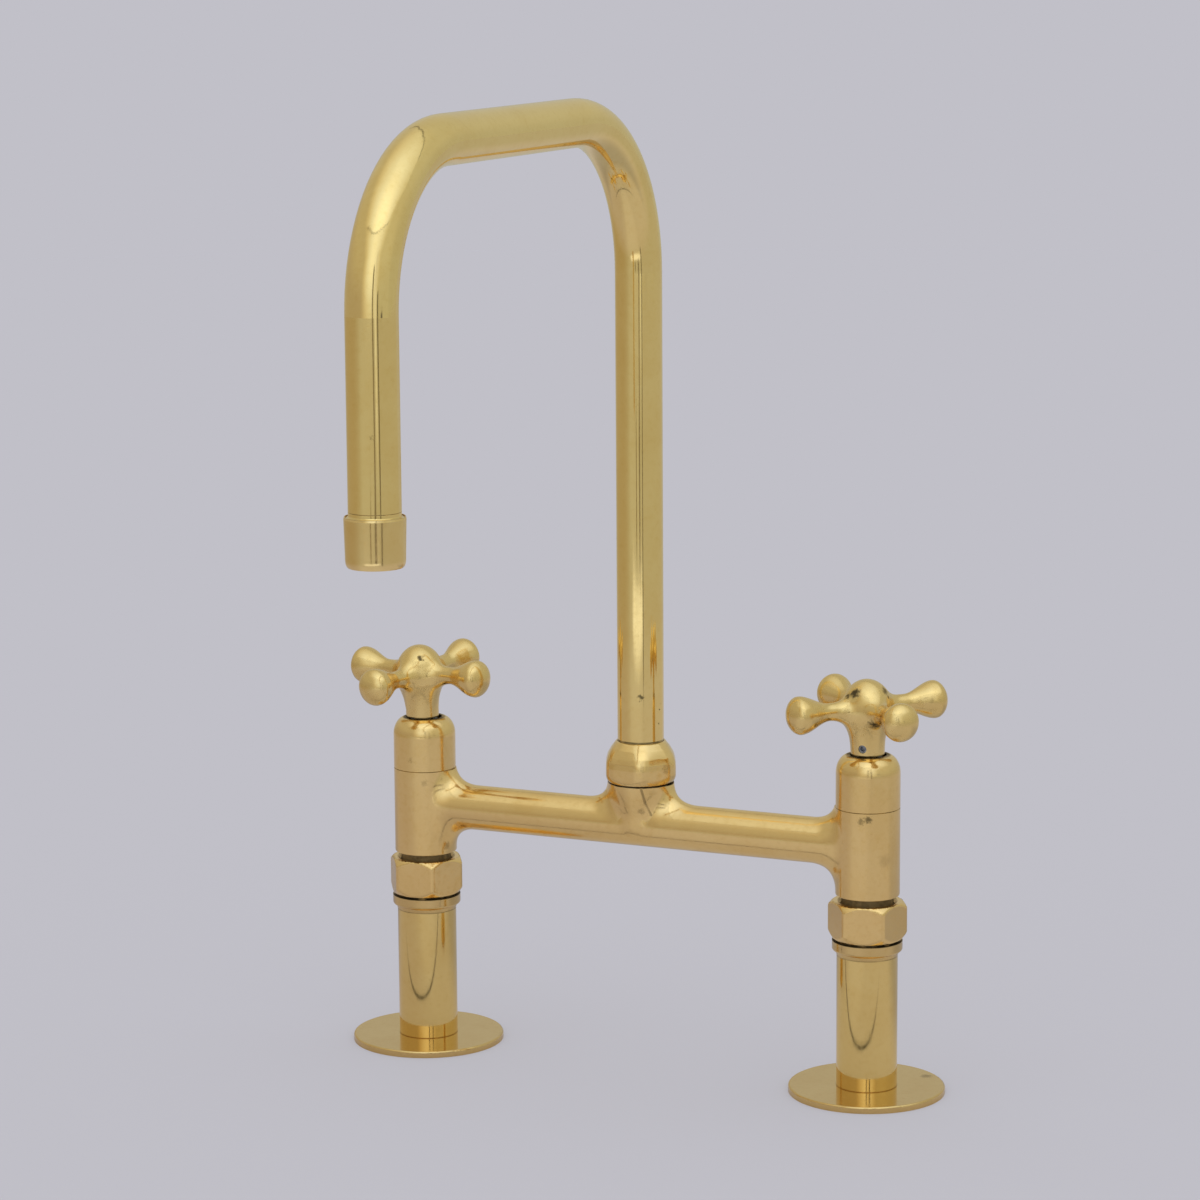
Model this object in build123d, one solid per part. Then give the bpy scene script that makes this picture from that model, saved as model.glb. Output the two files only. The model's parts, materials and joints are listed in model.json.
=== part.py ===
from build123d import *
import math
import os

# Bridge kitchen faucet in unlacquered brass. Millimetres and degrees throughout.
# +Z is up from the deck, +X runs along the bridge to the right-hand valve, and the
# spout reaches out towards -Y. The origin is on the deck, midway between the legs.

# --------------------------------------------------------------------------------------
# Driving dimensions
# --------------------------------------------------------------------------------------

# Layout seen from outside
inlet_centres = 203.2            # left leg axis to right leg axis
bridge_to_run_height = 297.0     # bridge axis up to the axis of the spout's level run
spout_reach = 239.0              # riser axis to outlet axis
spout_drop = 129.6               # level run's axis down to the solder seam above the outlet
rear_bend_radius = 64.0
front_bend_radius = 59.0

# Gaps shared by many joints
thread_clearance = 0.03
braze_gap = 0.03
seam_chamfer = 0.2               # eased edge at a seam that shows

# Deck flanges
flange_diameter = 65.2
flange_thickness = 2.8
flange_edge_round = 0.8
flange_hole_diameter = 21.6      # passes a half-inch shank

# Legs
leg_pipe_diameter = 25.3
leg_pipe_bore = 20.4
leg_pipe_length = 55.8
inlet_thread_bore = 18.64        # minor diameter of the half-inch female thread
inlet_thread_length = 15.0
inlet_lead_in_depth = 1.5
inlet_lead_in_gap = 0.2          # lead-in stands outside the flange's hole by this

# Fitting brazed on top of each leg
leg_ogee_height = 1.7
leg_ogee_step = 0.55             # ogee stands out from the pipe by this
leg_collar_diameter = 29.2
leg_collar_height = 4.6
leg_collar_slope = 0.7           # height of the cone under the collar
leg_collar_round = 1.1
leg_spigot_length = 12.0
union_nut_wall = 1.6             # at the middle of a flat, over the thread
leg_thread_height = 8.1
leg_fitting_bore = 17.0

# Union nuts and what they clamp
union_nut_across_flats = 29.0
union_nut_top_chamfer = 2.2
union_nut_bottom_chamfer = 3.2
union_nut_edge_ring = 0.25       # how far the lower chamfer bites into the flats
union_nut_lip = 3.4
union_nut_lip_gap = 0.4
union_nut_countersink = 1.3
union_nut_corner_round = 1.0
union_nut_gap = 0.8              # dark line left between nut and collar
union_nut_turn_left = 5.5        # direction of one corner, from +X
union_nut_turn_right = 13.4
union_washer_thickness = 1.5
union_washer_gap = 0.3
tail_flange_thickness = 3.6
tail_diameter = 21.6
tail_bore = 16.0
tail_shoulder = 0.5              # step from the neck down to the brazed spigot
tail_spigot_length = 7.0
recess_height = 2.6              # open ring between nut and valve body

# Bridge casting
bridge_tube_diameter = 19.1
bridge_bore = 14.8
valve_body_diameter = 26.6
valve_body_foot_round = 0.6
valve_body_below_axis = 20.8
valve_body_above_axis = 16.1
valve_bore = 20.4
valve_seat_below_axis = 8.1
seat_passage_diameter = 12.8
valve_fillet = 10.0
boss_foot_diameter = 19.0
boss_waist_diameter = 23.0
boss_waist_height = 8.4
boss_top_diameter = 27.4
boss_top_splay = 0.05            # slope of the boss's side as it reaches the ledge
boss_height = 18.2               # bridge axis up to the ledge under the riser nut
boss_fillet = 9.0

# Riser joint, where the spout swivels
boss_thread_diameter = 23.0
boss_thread_height = 8.2
boss_bore = 17.3
riser_nut_across_flats = 29.4
riser_nut_height = 17.9
riser_nut_corner_height = 6.6    # height at which the domed top reaches the hexagon's corners
riser_nut_dome_bulge = 0.45
riser_nut_bottom_chamfer = 3.0
riser_nut_top_diameter = 21.2
riser_nut_turn = 53.5
riser_nut_corner_round = 2.5
riser_nut_gap = 0.3
swivel_washer_thickness = 0.8
swivel_flange_thickness = 2.7
swivel_flange_gap = 0.3
swivel_end_play = 0.1
swivel_bore = 11.6
swivel_clearance = 0.05
swivel_plug_length = 8.0         # spigot inside the riser tube
riser_hole_clearance = 0.12
swivel_depth = 17.0              # spigot length below its flange
o_ring_section = 1.7
o_ring_groove_width = 2.3
o_ring_squash_gap = 0.03
lower_o_ring_height = 4.0        # above the spigot's lower end
upper_o_ring_height = 11.0

# Spout tube and outlet
spout_tube_diameter = 19.5
spout_tube_wall = 1.2
outlet_collar_height = 1.5
outlet_flare_gap = 0.4           # dark ring between the flare and the aerator's lip
outlet_flare_height = 1.0
outlet_spigot_length = 7.0
outlet_thread_length = 8.6

# Aerator
aerator_diameter = 22.8
aerator_foot_diameter = 20.4
aerator_height = 18.5
aerator_taper = 0.35             # the shell narrows by this radius before its foot rounds over
aerator_foot_round_height = 4.0
aerator_lip_rise = 0.8           # shell edge above the outlet's flare
aerator_lip_wall = 0.5
aerator_wall = 1.3               # over the thread
aerator_shelf = 1.2
aerator_core_wall = 1.3
aerator_mouth_lip = 1.0
aerator_mouth_overlap = 0.3
aerator_washer_thickness = 1.6
aerator_flange_thickness = 1.2
aerator_floor = 2.4
honeycomb_pitch = 2.0
honeycomb_wall = 0.35
filter_thickness = 0.6
filter_rise = 2.6

# Valve headworks
gasket_thickness = 0.7
headwork_flange_thickness = 3.5
headwork_hex_across_flats = 17.0
headwork_hex_height = 5.6
headwork_neck_diameter = 12.0
headwork_neck_height = 10.5
headwork_thread_length = 9.6
headwork_cage_gap = 1.3          # water space between the cage and the valve body
headwork_cage_wall = 1.5
driver_chamber_height = 3.6
window_width = 8.0
window_height = 3.0
seal_thickness = 2.0
seal_width = 3.7
disc_thickness = 2.8
disc_clearance = 0.1
port_inner_radius = 1.8
port_rim = 1.5
port_angle = 76.0
spindle_diameter = 9.8
spindle_clearance = 0.05
driver_width = 6.0
driver_gap = 0.4
driver_blade_depth = 1.2
driver_blade_width = 3.0
driver_blade_length = 9.0
spindle_groove_depth = 1.2
spindle_ring_section = 1.15
spindle_ring_spacing = 4.2
clip_thickness = 0.8
clip_diameter = 11.4
clip_groove_diameter = 7.2
clip_mouth = 5.0
spline_diameter = 8.0
spline_root_diameter = 7.2
spline_teeth = 20
spline_length = 15.0
spline_clearance = 0.05

# Bonnets
bonnet_height = 22.05
bonnet_shoulder_width = 5.3      # the shoulder is a quarter ellipse of this width and height
bonnet_shoulder_height = 7.5
bonnet_hole_diameter = 15.2
bonnet_side_wall = 1.28
bonnet_cavity_height = 15.3
bonnet_top_wall = 2.0

# Cross handles, heights above the neck's lower edge
handle_gap = 0.5
neck_diameter = 14.0
neck_waist_height = 2.6
neck_waist_diameter = 14.2
hub_diameter = 18.4
hub_height = 15.0
dome_radius = 9.0
handle_height = 31.2
arm_height = 19.3
arm_root_radius = 7.2
arm_root_slope = -0.2            # slope of the arm's side where it leaves the hub's axis
arm_waist_reach = 17.3
arm_waist_radius = 3.6
arm_bulb_reach = 30.6
arm_bulb_radius = 7.9
arm_tip_reach = 35.6
arm_fillet = 4.5
handle_lean_depth = 15.0         # the cast outside leans about a point this far below the neck
handle_lean_left = 3.6           # angle of the lean
handle_lean_right = 2.1
handle_lean_side_left = 39.3     # direction of the lean, from the grub screw
handle_lean_side_right = -9.2
bore_depth = 15.2
screw_height = 3.1
screw_diameter = 3.5
screw_length = 2.9
screw_socket = 2.0
screw_socket_depth = 1.5
screw_tip_gap = 0.05
screw_angle_left = -147.4        # direction of the grub screw at rest, from +X
screw_angle_right = -88.4

# --------------------------------------------------------------------------------------
# Heights above the deck, worked out from the sizes above
# --------------------------------------------------------------------------------------

leg_foot_z = flange_thickness
leg_pipe_top_z = leg_foot_z + leg_pipe_length
leg_collar_top_z = leg_pipe_top_z + leg_ogee_height + leg_collar_height
leg_thread_top_z = leg_collar_top_z + leg_thread_height
tail_foot_z = leg_thread_top_z + union_washer_thickness
tail_flange_top_z = tail_foot_z + tail_flange_thickness
union_nut_foot_z = leg_collar_top_z + union_nut_gap
union_nut_top_z = tail_flange_top_z + union_nut_lip
valve_body_foot_z = union_nut_top_z + recess_height
bridge_axis_z = valve_body_foot_z + valve_body_below_axis
valve_body_top_z = bridge_axis_z + valve_body_above_axis
valve_seat_z = bridge_axis_z - valve_seat_below_axis

boss_top_z = bridge_axis_z + boss_height
boss_thread_top_z = boss_top_z + boss_thread_height
swivel_flange_foot_z = boss_thread_top_z + swivel_washer_thickness
riser_foot_z = swivel_flange_foot_z + swivel_flange_thickness
run_axis_z = bridge_axis_z + bridge_to_run_height
seam_z = run_axis_z - spout_drop
outlet_flare_z = seam_z - outlet_collar_height
outlet_thread_top_z = outlet_flare_z - outlet_flare_height
outlet_thread_foot_z = outlet_thread_top_z - outlet_thread_length
aerator_top_z = outlet_flare_z - outlet_flare_height + aerator_lip_rise
aerator_foot_z = aerator_top_z - aerator_height

fixed_disc_z = valve_seat_z + seal_thickness
moving_disc_z = fixed_disc_z + disc_thickness
driver_foot_z = moving_disc_z + disc_thickness
driver_ceiling_z = driver_foot_z + driver_chamber_height
headwork_flange_z = valve_body_top_z + gasket_thickness
headwork_hex_z = headwork_flange_z + headwork_flange_thickness
headwork_neck_z = headwork_hex_z + headwork_hex_height
headwork_top_z = headwork_neck_z + headwork_neck_height
clip_z = headwork_top_z + disc_clearance
bonnet_top_z = valve_body_top_z + bonnet_height
neck_foot_z = bonnet_top_z + handle_gap

# --------------------------------------------------------------------------------------
# Diameters that follow from what a piece fits over or inside
# --------------------------------------------------------------------------------------

leg_thread_diameter = union_nut_across_flats - 2 * union_nut_wall
leg_ogee_diameter = leg_pipe_diameter + 2 * leg_ogee_step
inlet_lead_in_diameter = flange_hole_diameter + 2 * inlet_lead_in_gap
tail_socket_diameter = tail_diameter - 2 * tail_shoulder
swivel_flange_diameter = boss_thread_diameter - 2 * swivel_flange_gap
spout_tube_bore = spout_tube_diameter - 2 * spout_tube_wall
outlet_thread_diameter = aerator_diameter - 2 * aerator_wall
outlet_flare_diameter = aerator_diameter - 2 * (aerator_lip_wall + outlet_flare_gap)
aerator_core_diameter = outlet_thread_diameter - 2 * aerator_shelf
aerator_mouth_diameter = aerator_core_diameter - 2 * aerator_mouth_overlap
outlet_bore = aerator_core_diameter - 2 * aerator_core_wall
headwork_cage_diameter = valve_bore - 2 * headwork_cage_gap
headwork_cage_bore = headwork_cage_diameter - 2 * headwork_cage_wall
seal_bore = headwork_cage_diameter - 2 * seal_width
disc_diameter = headwork_cage_bore - 2 * disc_clearance
bonnet_bore = valve_body_diameter - 2 * bonnet_side_wall
headwork_flange_diameter = bonnet_bore - 2 * thread_clearance

# --------------------------------------------------------------------------------------
# Helpers
# --------------------------------------------------------------------------------------


def turned(outline, rounds=None):
    """Solid of revolution about Z from an (r, z) outline; rounds maps a corner to its radius."""
    face = make_face(Polyline(*outline, close=True))
    for corner, radius in (rounds or {}).items():
        nearest = face.vertices().sort_by_distance(outline[corner] + (0,))[0]
        face = fillet(nearest, radius)
    return revolve(Plane.XZ * face, Axis.Z)


def rod(diameter, foot_z, top_z):
    """Upright cylinder about Z between two heights."""
    return Pos(0, 0, foot_z) * extrude(Circle(diameter / 2), top_z - foot_z)


def pipe(outer, inner, foot_z, top_z):
    """Upright ring or tube about Z between two heights."""
    ring = Circle(outer / 2) - Circle(inner / 2)
    return Pos(0, 0, foot_z) * extrude(ring, top_z - foot_z)


def hexagon(across_flats, foot_z, top_z, corner_angle=0.0, corner_round=0.0):
    """Upright hexagonal prism with one corner pointing in the given direction."""
    outline = RegularPolygon(across_flats / 2, 6, major_radius=False, rotation=corner_angle)
    if corner_round:
        outline = fillet(outline.vertices(), corner_round)
    return Pos(0, 0, foot_z) * extrude(outline, top_z - foot_z)


def corner_radius(across_flats):
    """Distance from a hexagon's centre to its corners."""
    return across_flats / math.sqrt(3)


def polar(radius, angle):
    """Point in the XY plane at a radius and an angle in degrees."""
    return radius * math.cos(math.radians(angle)), radius * math.sin(math.radians(angle))


def at_valve(side, solid):
    """Moves a piece from the origin to the left (-1) or right (+1) leg axis."""
    return Pos(side * inlet_centres / 2, 0, 0) * solid


# --------------------------------------------------------------------------------------
# Legs and unions
# --------------------------------------------------------------------------------------


def deck_flange():
    """Loose cover disc between the deck and the leg, with its upper edge rounded."""
    rim = flange_diameter / 2
    hole = flange_hole_diameter / 2
    outline = [(hole, 0), (rim, 0), (rim, flange_thickness), (hole, flange_thickness)]
    return turned(outline, {2: flange_edge_round})


def leg_pipe():
    """Stout pipe with a half-inch female thread and a lead-in at its foot."""
    thread_foot_z = leg_foot_z + inlet_lead_in_depth
    thread_top_z = thread_foot_z + inlet_thread_length
    leg = rod(leg_pipe_diameter, leg_foot_z, leg_pipe_top_z)
    leg = chamfer(leg.edges().sort_by(Axis.Z)[0], seam_chamfer)
    leg -= rod(inlet_lead_in_diameter, leg_foot_z, thread_foot_z)
    leg -= rod(inlet_thread_bore, thread_foot_z, thread_top_z)
    leg -= rod(leg_pipe_bore, thread_top_z, leg_pipe_top_z)
    return leg


def leg_fitting():
    """Brazed top of the leg: spigot, ogee, collar and the male thread for the union nut."""
    bore = leg_fitting_bore / 2
    spigot = leg_pipe_bore / 2 - braze_gap
    collar = leg_collar_diameter / 2
    thread = leg_thread_diameter / 2
    ogee_z = leg_pipe_top_z + leg_ogee_height
    outline = [
        (bore, leg_pipe_top_z - leg_spigot_length),
        (spigot, leg_pipe_top_z - leg_spigot_length),
        (spigot, leg_pipe_top_z),
        (leg_pipe_diameter / 2, leg_pipe_top_z),
        (leg_ogee_diameter / 2, ogee_z),
        (collar, ogee_z + leg_collar_slope),
        (collar, leg_collar_top_z),
        (thread, leg_collar_top_z),
        (thread, leg_thread_top_z),
        (bore, leg_thread_top_z),
    ]
    return turned(outline, {4: leg_collar_round / 2, 5: leg_collar_round})


def union_nut(turn):
    """Captive hexagon nut: threaded below, with an inward lip over the tail's flange."""
    flat = union_nut_across_flats / 2
    corner = corner_radius(union_nut_across_flats)
    envelope = turned([
        (0, union_nut_foot_z),
        (flat - union_nut_edge_ring, union_nut_foot_z),
        (corner, union_nut_foot_z + union_nut_bottom_chamfer),
        (corner, union_nut_top_z - union_nut_top_chamfer),
        (flat, union_nut_top_z),
        (0, union_nut_top_z),
    ])
    blank = hexagon(
        union_nut_across_flats, union_nut_foot_z, union_nut_top_z, turn, union_nut_corner_round
    )
    nut = blank & envelope
    lip_hole = tail_diameter / 2 + union_nut_lip_gap
    thread = leg_thread_diameter / 2 + thread_clearance
    nut -= turned([
        (0, union_nut_foot_z),
        (thread, union_nut_foot_z),
        (thread, tail_flange_top_z),
        (lip_hole, tail_flange_top_z),
        (lip_hole, union_nut_top_z - union_nut_countersink),
        (lip_hole + union_nut_countersink, union_nut_top_z),
        (0, union_nut_top_z),
    ])
    return nut


def union_washer():
    """Fibre washer between the leg's thread and the tail."""
    outer = leg_thread_diameter - 2 * union_washer_gap
    return pipe(outer, leg_fitting_bore, leg_thread_top_z, tail_foot_z)


def union_tail():
    """Flanged tail brazed into the foot of the valve body and clamped by the union nut."""
    bore = tail_bore / 2
    flange = leg_thread_diameter / 2 - thread_clearance
    neck = tail_diameter / 2
    spigot = tail_socket_diameter / 2 - braze_gap
    return turned([
        (bore, tail_foot_z),
        (flange, tail_foot_z),
        (flange, tail_flange_top_z),
        (neck, tail_flange_top_z),
        (neck, valve_body_foot_z),
        (spigot, valve_body_foot_z),
        (spigot, valve_body_foot_z + tail_spigot_length),
        (bore, valve_body_foot_z + tail_spigot_length),
    ])


# --------------------------------------------------------------------------------------
# Bridge casting
# --------------------------------------------------------------------------------------


def boss_blank():
    """Flared boss that carries the riser, before it is bored."""
    foot = (boss_foot_diameter / 2, bridge_axis_z)
    waist = (boss_waist_diameter / 2, bridge_axis_z + boss_waist_height)
    ledge = (boss_top_diameter / 2, boss_top_z)
    edges = Spline(foot, waist, ledge, tangents=[(0, 1), (boss_top_splay, 1)])
    edges += Polyline(ledge, (0, boss_top_z), (0, bridge_axis_z), foot)
    return revolve(Plane.XZ * make_face(edges), Axis.Z)


def joint_curves(casting, low_x, high_x):
    """Curves in a span of X where an upright branch of the casting meets the tube."""
    plain = (GeomType.CIRCLE, GeomType.LINE)
    curves = casting.edges().filter_by(lambda edge: edge.geom_type not in plain)
    curves = curves.filter_by(lambda edge: low_x < edge.center().X < high_x)
    return curves.filter_by(lambda edge: edge.center().Z < bridge_axis_z + bridge_tube_diameter / 2)


def valve_cavity():
    """Headwork bore, seat passage and tail socket of one valve body."""
    socket_top_z = valve_body_foot_z + tail_spigot_length
    cavity = rod(valve_bore, valve_seat_z, valve_body_top_z)
    cavity += rod(seat_passage_diameter, socket_top_z, valve_seat_z)
    cavity += rod(tail_socket_diameter, valve_body_foot_z, socket_top_z)
    return cavity


def bridge_run(diameter):
    """Level cylinder from one leg axis to the other."""
    section = Pos(-inlet_centres / 2, 0, bridge_axis_z) * (Plane.YZ * Circle(diameter / 2))
    return extrude(section, inlet_centres)


def bridge_body():
    """One casting: both valve bodies, the tube between them and the riser boss."""
    half = inlet_centres / 2
    casting = bridge_run(bridge_tube_diameter)
    for side in (-1, 1):
        blank = rod(valve_body_diameter, valve_body_foot_z, valve_body_top_z)
        casting += at_valve(side, blank)
    casting = fillet(joint_curves(casting, -half, half), valve_fillet)
    casting += boss_blank()
    casting = fillet(joint_curves(casting, -boss_top_diameter, boss_top_diameter), boss_fillet)
    foot_edges = casting.edges().filter_by(GeomType.CIRCLE).group_by(Axis.Z)[0]
    casting = fillet(foot_edges, valve_body_foot_round)
    casting += rod(boss_thread_diameter, boss_top_z, boss_thread_top_z)
    casting -= bridge_run(bridge_bore)
    casting -= rod(boss_bore, bridge_axis_z, boss_thread_top_z)
    for side in (-1, 1):
        casting -= at_valve(side, valve_cavity())
    return casting


# --------------------------------------------------------------------------------------
# Riser joint and spout
# --------------------------------------------------------------------------------------


def riser_nut():
    """Hexagon nut with a domed top; it holds the swivelling spout down on the boss."""
    foot_z = boss_top_z + riser_nut_gap
    top_z = boss_top_z + riser_nut_height
    corner = corner_radius(riser_nut_across_flats)
    corner_z = boss_top_z + riser_nut_corner_height
    crown = (riser_nut_top_diameter / 2, top_z)
    shoulder = (corner, corner_z)
    middle = ((crown[0] + shoulder[0]) / 2 + riser_nut_dome_bulge, (top_z + corner_z) / 2)
    waist = (corner, foot_z + riser_nut_bottom_chamfer)
    foot = (boss_top_diameter / 2, foot_z)
    edges = ThreePointArc(crown, middle, shoulder)
    edges += Polyline(shoulder, waist, foot, (0, foot_z), (0, top_z), crown)
    envelope = revolve(Plane.XZ * make_face(edges), Axis.Z)
    blank = hexagon(riser_nut_across_flats, foot_z, top_z, riser_nut_turn, riser_nut_corner_round)
    nut = blank & envelope
    flange_top_z = riser_foot_z + swivel_end_play
    nut -= rod(boss_thread_diameter + 2 * thread_clearance, foot_z, flange_top_z)
    nut -= rod(spout_tube_diameter + 2 * riser_hole_clearance, flange_top_z, top_z)
    return nut


def swivel_washer():
    """Nylon slip washer between the boss and the spout's flange."""
    return pipe(swivel_flange_diameter, boss_bore, boss_thread_top_z, swivel_flange_foot_z)


def o_ring_heights():
    """Centre heights of the two O-rings on the swivel spigot."""
    foot_z = swivel_flange_foot_z - swivel_depth
    return foot_z + lower_o_ring_height, foot_z + upper_o_ring_height


def swivel_spigot():
    """Spigot brazed into the riser: turns in the boss on two O-rings under the nut."""
    foot_z = swivel_flange_foot_z - swivel_depth
    plug_top_z = riser_foot_z + swivel_plug_length
    running = boss_bore - 2 * swivel_clearance
    spigot = rod(running, foot_z, swivel_flange_foot_z)
    spigot += rod(swivel_flange_diameter, swivel_flange_foot_z, riser_foot_z)
    spigot += rod(spout_tube_bore - 2 * braze_gap, riser_foot_z, plug_top_z)
    spigot -= rod(swivel_bore, foot_z, plug_top_z)
    floor = running - 2 * (o_ring_section + o_ring_squash_gap)
    for ring_z in o_ring_heights():
        half = o_ring_groove_width / 2
        spigot -= pipe(boss_bore, floor, ring_z - half, ring_z + half)
    return spigot


def swivel_o_rings():
    """Two O-rings that seal the spout in the boss."""
    major = (boss_bore - o_ring_section) / 2 - o_ring_squash_gap
    rings = [Pos(0, 0, ring_z) * Torus(major, o_ring_section / 2) for ring_z in o_ring_heights()]
    return Compound(children=rings)


def spout_tube():
    """Drawn tube: up from the riser, level over the sink and down to the outlet."""
    path = FilletPolyline(
        (0, 0, riser_foot_z),
        (0, 0, run_axis_z),
        (0, -spout_reach, run_axis_z),
        (0, -spout_reach, seam_z),
        radius=[rear_bend_radius, front_bend_radius],
    )
    section = Circle(spout_tube_diameter / 2) - Circle(spout_tube_bore / 2)
    return sweep(Pos(0, 0, riser_foot_z) * section, path=path)


def outlet_collar():
    """Soldered tube end: a short ring flaring to a lip, and the aerator's male thread."""
    tube = spout_tube_diameter / 2
    bore = outlet_bore / 2
    plug = spout_tube_bore / 2 - braze_gap
    lip = outlet_flare_diameter / 2
    thread = outlet_thread_diameter / 2
    collar = turned([
        (bore, outlet_thread_foot_z),
        (thread, outlet_thread_foot_z),
        (thread, outlet_thread_top_z),
        (lip, outlet_thread_top_z),
        (lip, outlet_flare_z - outlet_flare_height / 2),
        (tube, outlet_flare_z),
        (tube, seam_z - seam_chamfer),
        (tube - seam_chamfer, seam_z),
        (plug, seam_z),
        (plug, seam_z + outlet_spigot_length),
        (bore, seam_z + outlet_spigot_length),
    ], {5: outlet_flare_height / 2})
    return Pos(0, -spout_reach, 0) * collar


def aerator_shell():
    """Cup that screws over the outlet thread and holds the aerator's insides."""
    rim = aerator_diameter / 2
    foot = aerator_foot_diameter / 2
    waist = (rim - aerator_taper, aerator_foot_z + aerator_foot_round_height)
    thread = outlet_thread_diameter / 2 + thread_clearance
    mouth = aerator_mouth_diameter / 2
    core = aerator_core_diameter / 2
    shelf_z = aerator_flange_z()
    inner_lip = rim - aerator_lip_wall
    edges = Line((mouth, aerator_foot_z), (foot, aerator_foot_z))
    edges += Spline((foot, aerator_foot_z), waist, tangents=[(1, 1), (0, 1)])
    edges += Polyline(
        waist,
        (rim, aerator_top_z - aerator_lip_rise),
        (rim - aerator_lip_wall / 2, aerator_top_z),
        (inner_lip, aerator_top_z),
        (inner_lip, outlet_thread_top_z),
        (thread, outlet_thread_top_z),
        (thread, shelf_z),
        (core + thread_clearance, shelf_z),
        (core + thread_clearance, aerator_foot_z + aerator_mouth_lip),
        (mouth, aerator_foot_z + aerator_mouth_lip),
        (mouth, aerator_foot_z),
    )
    return Pos(0, -spout_reach, 0) * revolve(Plane.XZ * make_face(edges), Axis.Z)


def aerator_flange_z():
    """Height of the shelf that the aerator core's flange rests on."""
    return outlet_thread_foot_z - aerator_washer_thickness - aerator_flange_thickness


def aerator_washer():
    """Rubber washer between the outlet thread and the aerator core."""
    top_z = outlet_thread_foot_z
    washer = pipe(outlet_thread_diameter, outlet_bore, top_z - aerator_washer_thickness, top_z)
    return Pos(0, -spout_reach, 0) * washer


def honeycomb_cells():
    """Centres of the honeycomb's cells, ring by ring about the middle one."""
    cells = []
    rings = int((outlet_bore / 2 - honeycomb_pitch / 2) // honeycomb_pitch)
    for column in range(-rings, rings + 1):
        for row in range(-rings, rings + 1):
            if abs(column + row) <= rings:
                x = honeycomb_pitch * (column + row / 2)
                y = honeycomb_pitch * row * math.sqrt(3) / 2
                cells.append((x, y))
    return cells


def aerator_core():
    """Moulded cup with a flange on the shell's shelf and a honeycomb floor."""
    flange = outlet_thread_diameter / 2
    core = aerator_core_diameter / 2
    shelf_z = aerator_flange_z()
    foot_z = aerator_foot_z + aerator_mouth_lip
    floor_z = foot_z + aerator_floor
    cup = rod(2 * core, foot_z, shelf_z)
    cup += rod(2 * flange, shelf_z, shelf_z + aerator_flange_thickness)
    cup -= rod(outlet_bore, floor_z, shelf_z + aerator_flange_thickness)
    cell = RegularPolygon((honeycomb_pitch - honeycomb_wall) / 2, 6, major_radius=False, rotation=30)
    holes = Sketch() + [Pos(x, y) * cell for x, y in honeycomb_cells()]
    cup -= Pos(0, 0, foot_z) * extrude(holes, aerator_floor)
    return Pos(0, -spout_reach, 0) * cup


def cap_face(radius, foot_z, rise):
    """Half section of a shallow spherical cap that stands on foot_z."""
    sphere = (radius**2 + rise**2) / (2 * rise)
    half_angle = math.asin(radius / sphere) / 2
    middle = (sphere * math.sin(half_angle), foot_z + rise - sphere * (1 - math.cos(half_angle)))
    edges = ThreePointArc((radius, foot_z), middle, (0, foot_z + rise))
    edges += Polyline((0, foot_z + rise), (0, foot_z), (radius, foot_z))
    return make_face(edges)


def aerator_filter():
    """Domed strainer that stands on the core's floor inside the cup."""
    foot_z = aerator_foot_z + aerator_mouth_lip + aerator_floor
    outer = outlet_bore / 2 - thread_clearance
    dome = revolve(Plane.XZ * cap_face(outer, foot_z, filter_rise + filter_thickness), Axis.Z)
    dome -= revolve(Plane.XZ * cap_face(outer - filter_thickness, foot_z, filter_rise), Axis.Z)
    return Pos(0, -spout_reach, 0) * dome


# --------------------------------------------------------------------------------------
# Quarter-turn headworks
# --------------------------------------------------------------------------------------


def seat_seal():
    """Rubber ring between the valve seat and the fixed disc."""
    return pipe(headwork_cage_diameter, seal_bore, valve_seat_z, fixed_disc_z)


def disc_port(angle, foot_z, top_z):
    """One sector-shaped water port of a ceramic disc, centred on an angle."""
    start = angle - port_angle / 2
    end = angle + port_angle / 2
    outer = disc_diameter / 2 - port_rim
    start_in = polar(port_inner_radius, start)
    middle_in = polar(port_inner_radius, angle)
    end_in = polar(port_inner_radius, end)
    start_out = polar(outer, start)
    middle_out = polar(outer, angle)
    end_out = polar(outer, end)
    edges = ThreePointArc(start_in, middle_in, end_in)
    edges += Line(end_in, end_out)
    edges += ThreePointArc(end_out, middle_out, start_out)
    edges += Line(start_out, start_in)
    return Pos(0, 0, foot_z) * extrude(make_face(edges), top_z - foot_z)


def ceramic_disc(foot_z, port_angles):
    """Ceramic disc with two opposite ports."""
    top_z = foot_z + disc_thickness
    disc = rod(disc_diameter, foot_z, top_z)
    for angle in port_angles:
        disc -= disc_port(angle, foot_z, top_z)
    return disc


def fixed_disc():
    """Lower disc, keyed in the cage: ports front and back."""
    return ceramic_disc(fixed_disc_z, (90, 270))


def driver_blade(width, length, foot_z, top_z):
    """Flat key between the spindle and the moving disc."""
    return Pos(0, 0, foot_z) * extrude(Rectangle(length, width), top_z - foot_z)


def moving_disc():
    """Upper disc: shut at rest, with its ports a quarter turn away from the lower ones."""
    disc = ceramic_disc(moving_disc_z, (0, 180))
    slot_z = driver_foot_z - driver_blade_depth - disc_clearance
    slot_width = driver_blade_width + 2 * disc_clearance
    slot = driver_blade(slot_width, disc_diameter, slot_z, driver_foot_z)
    return disc - Rot(0, 0, 90) * slot


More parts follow.
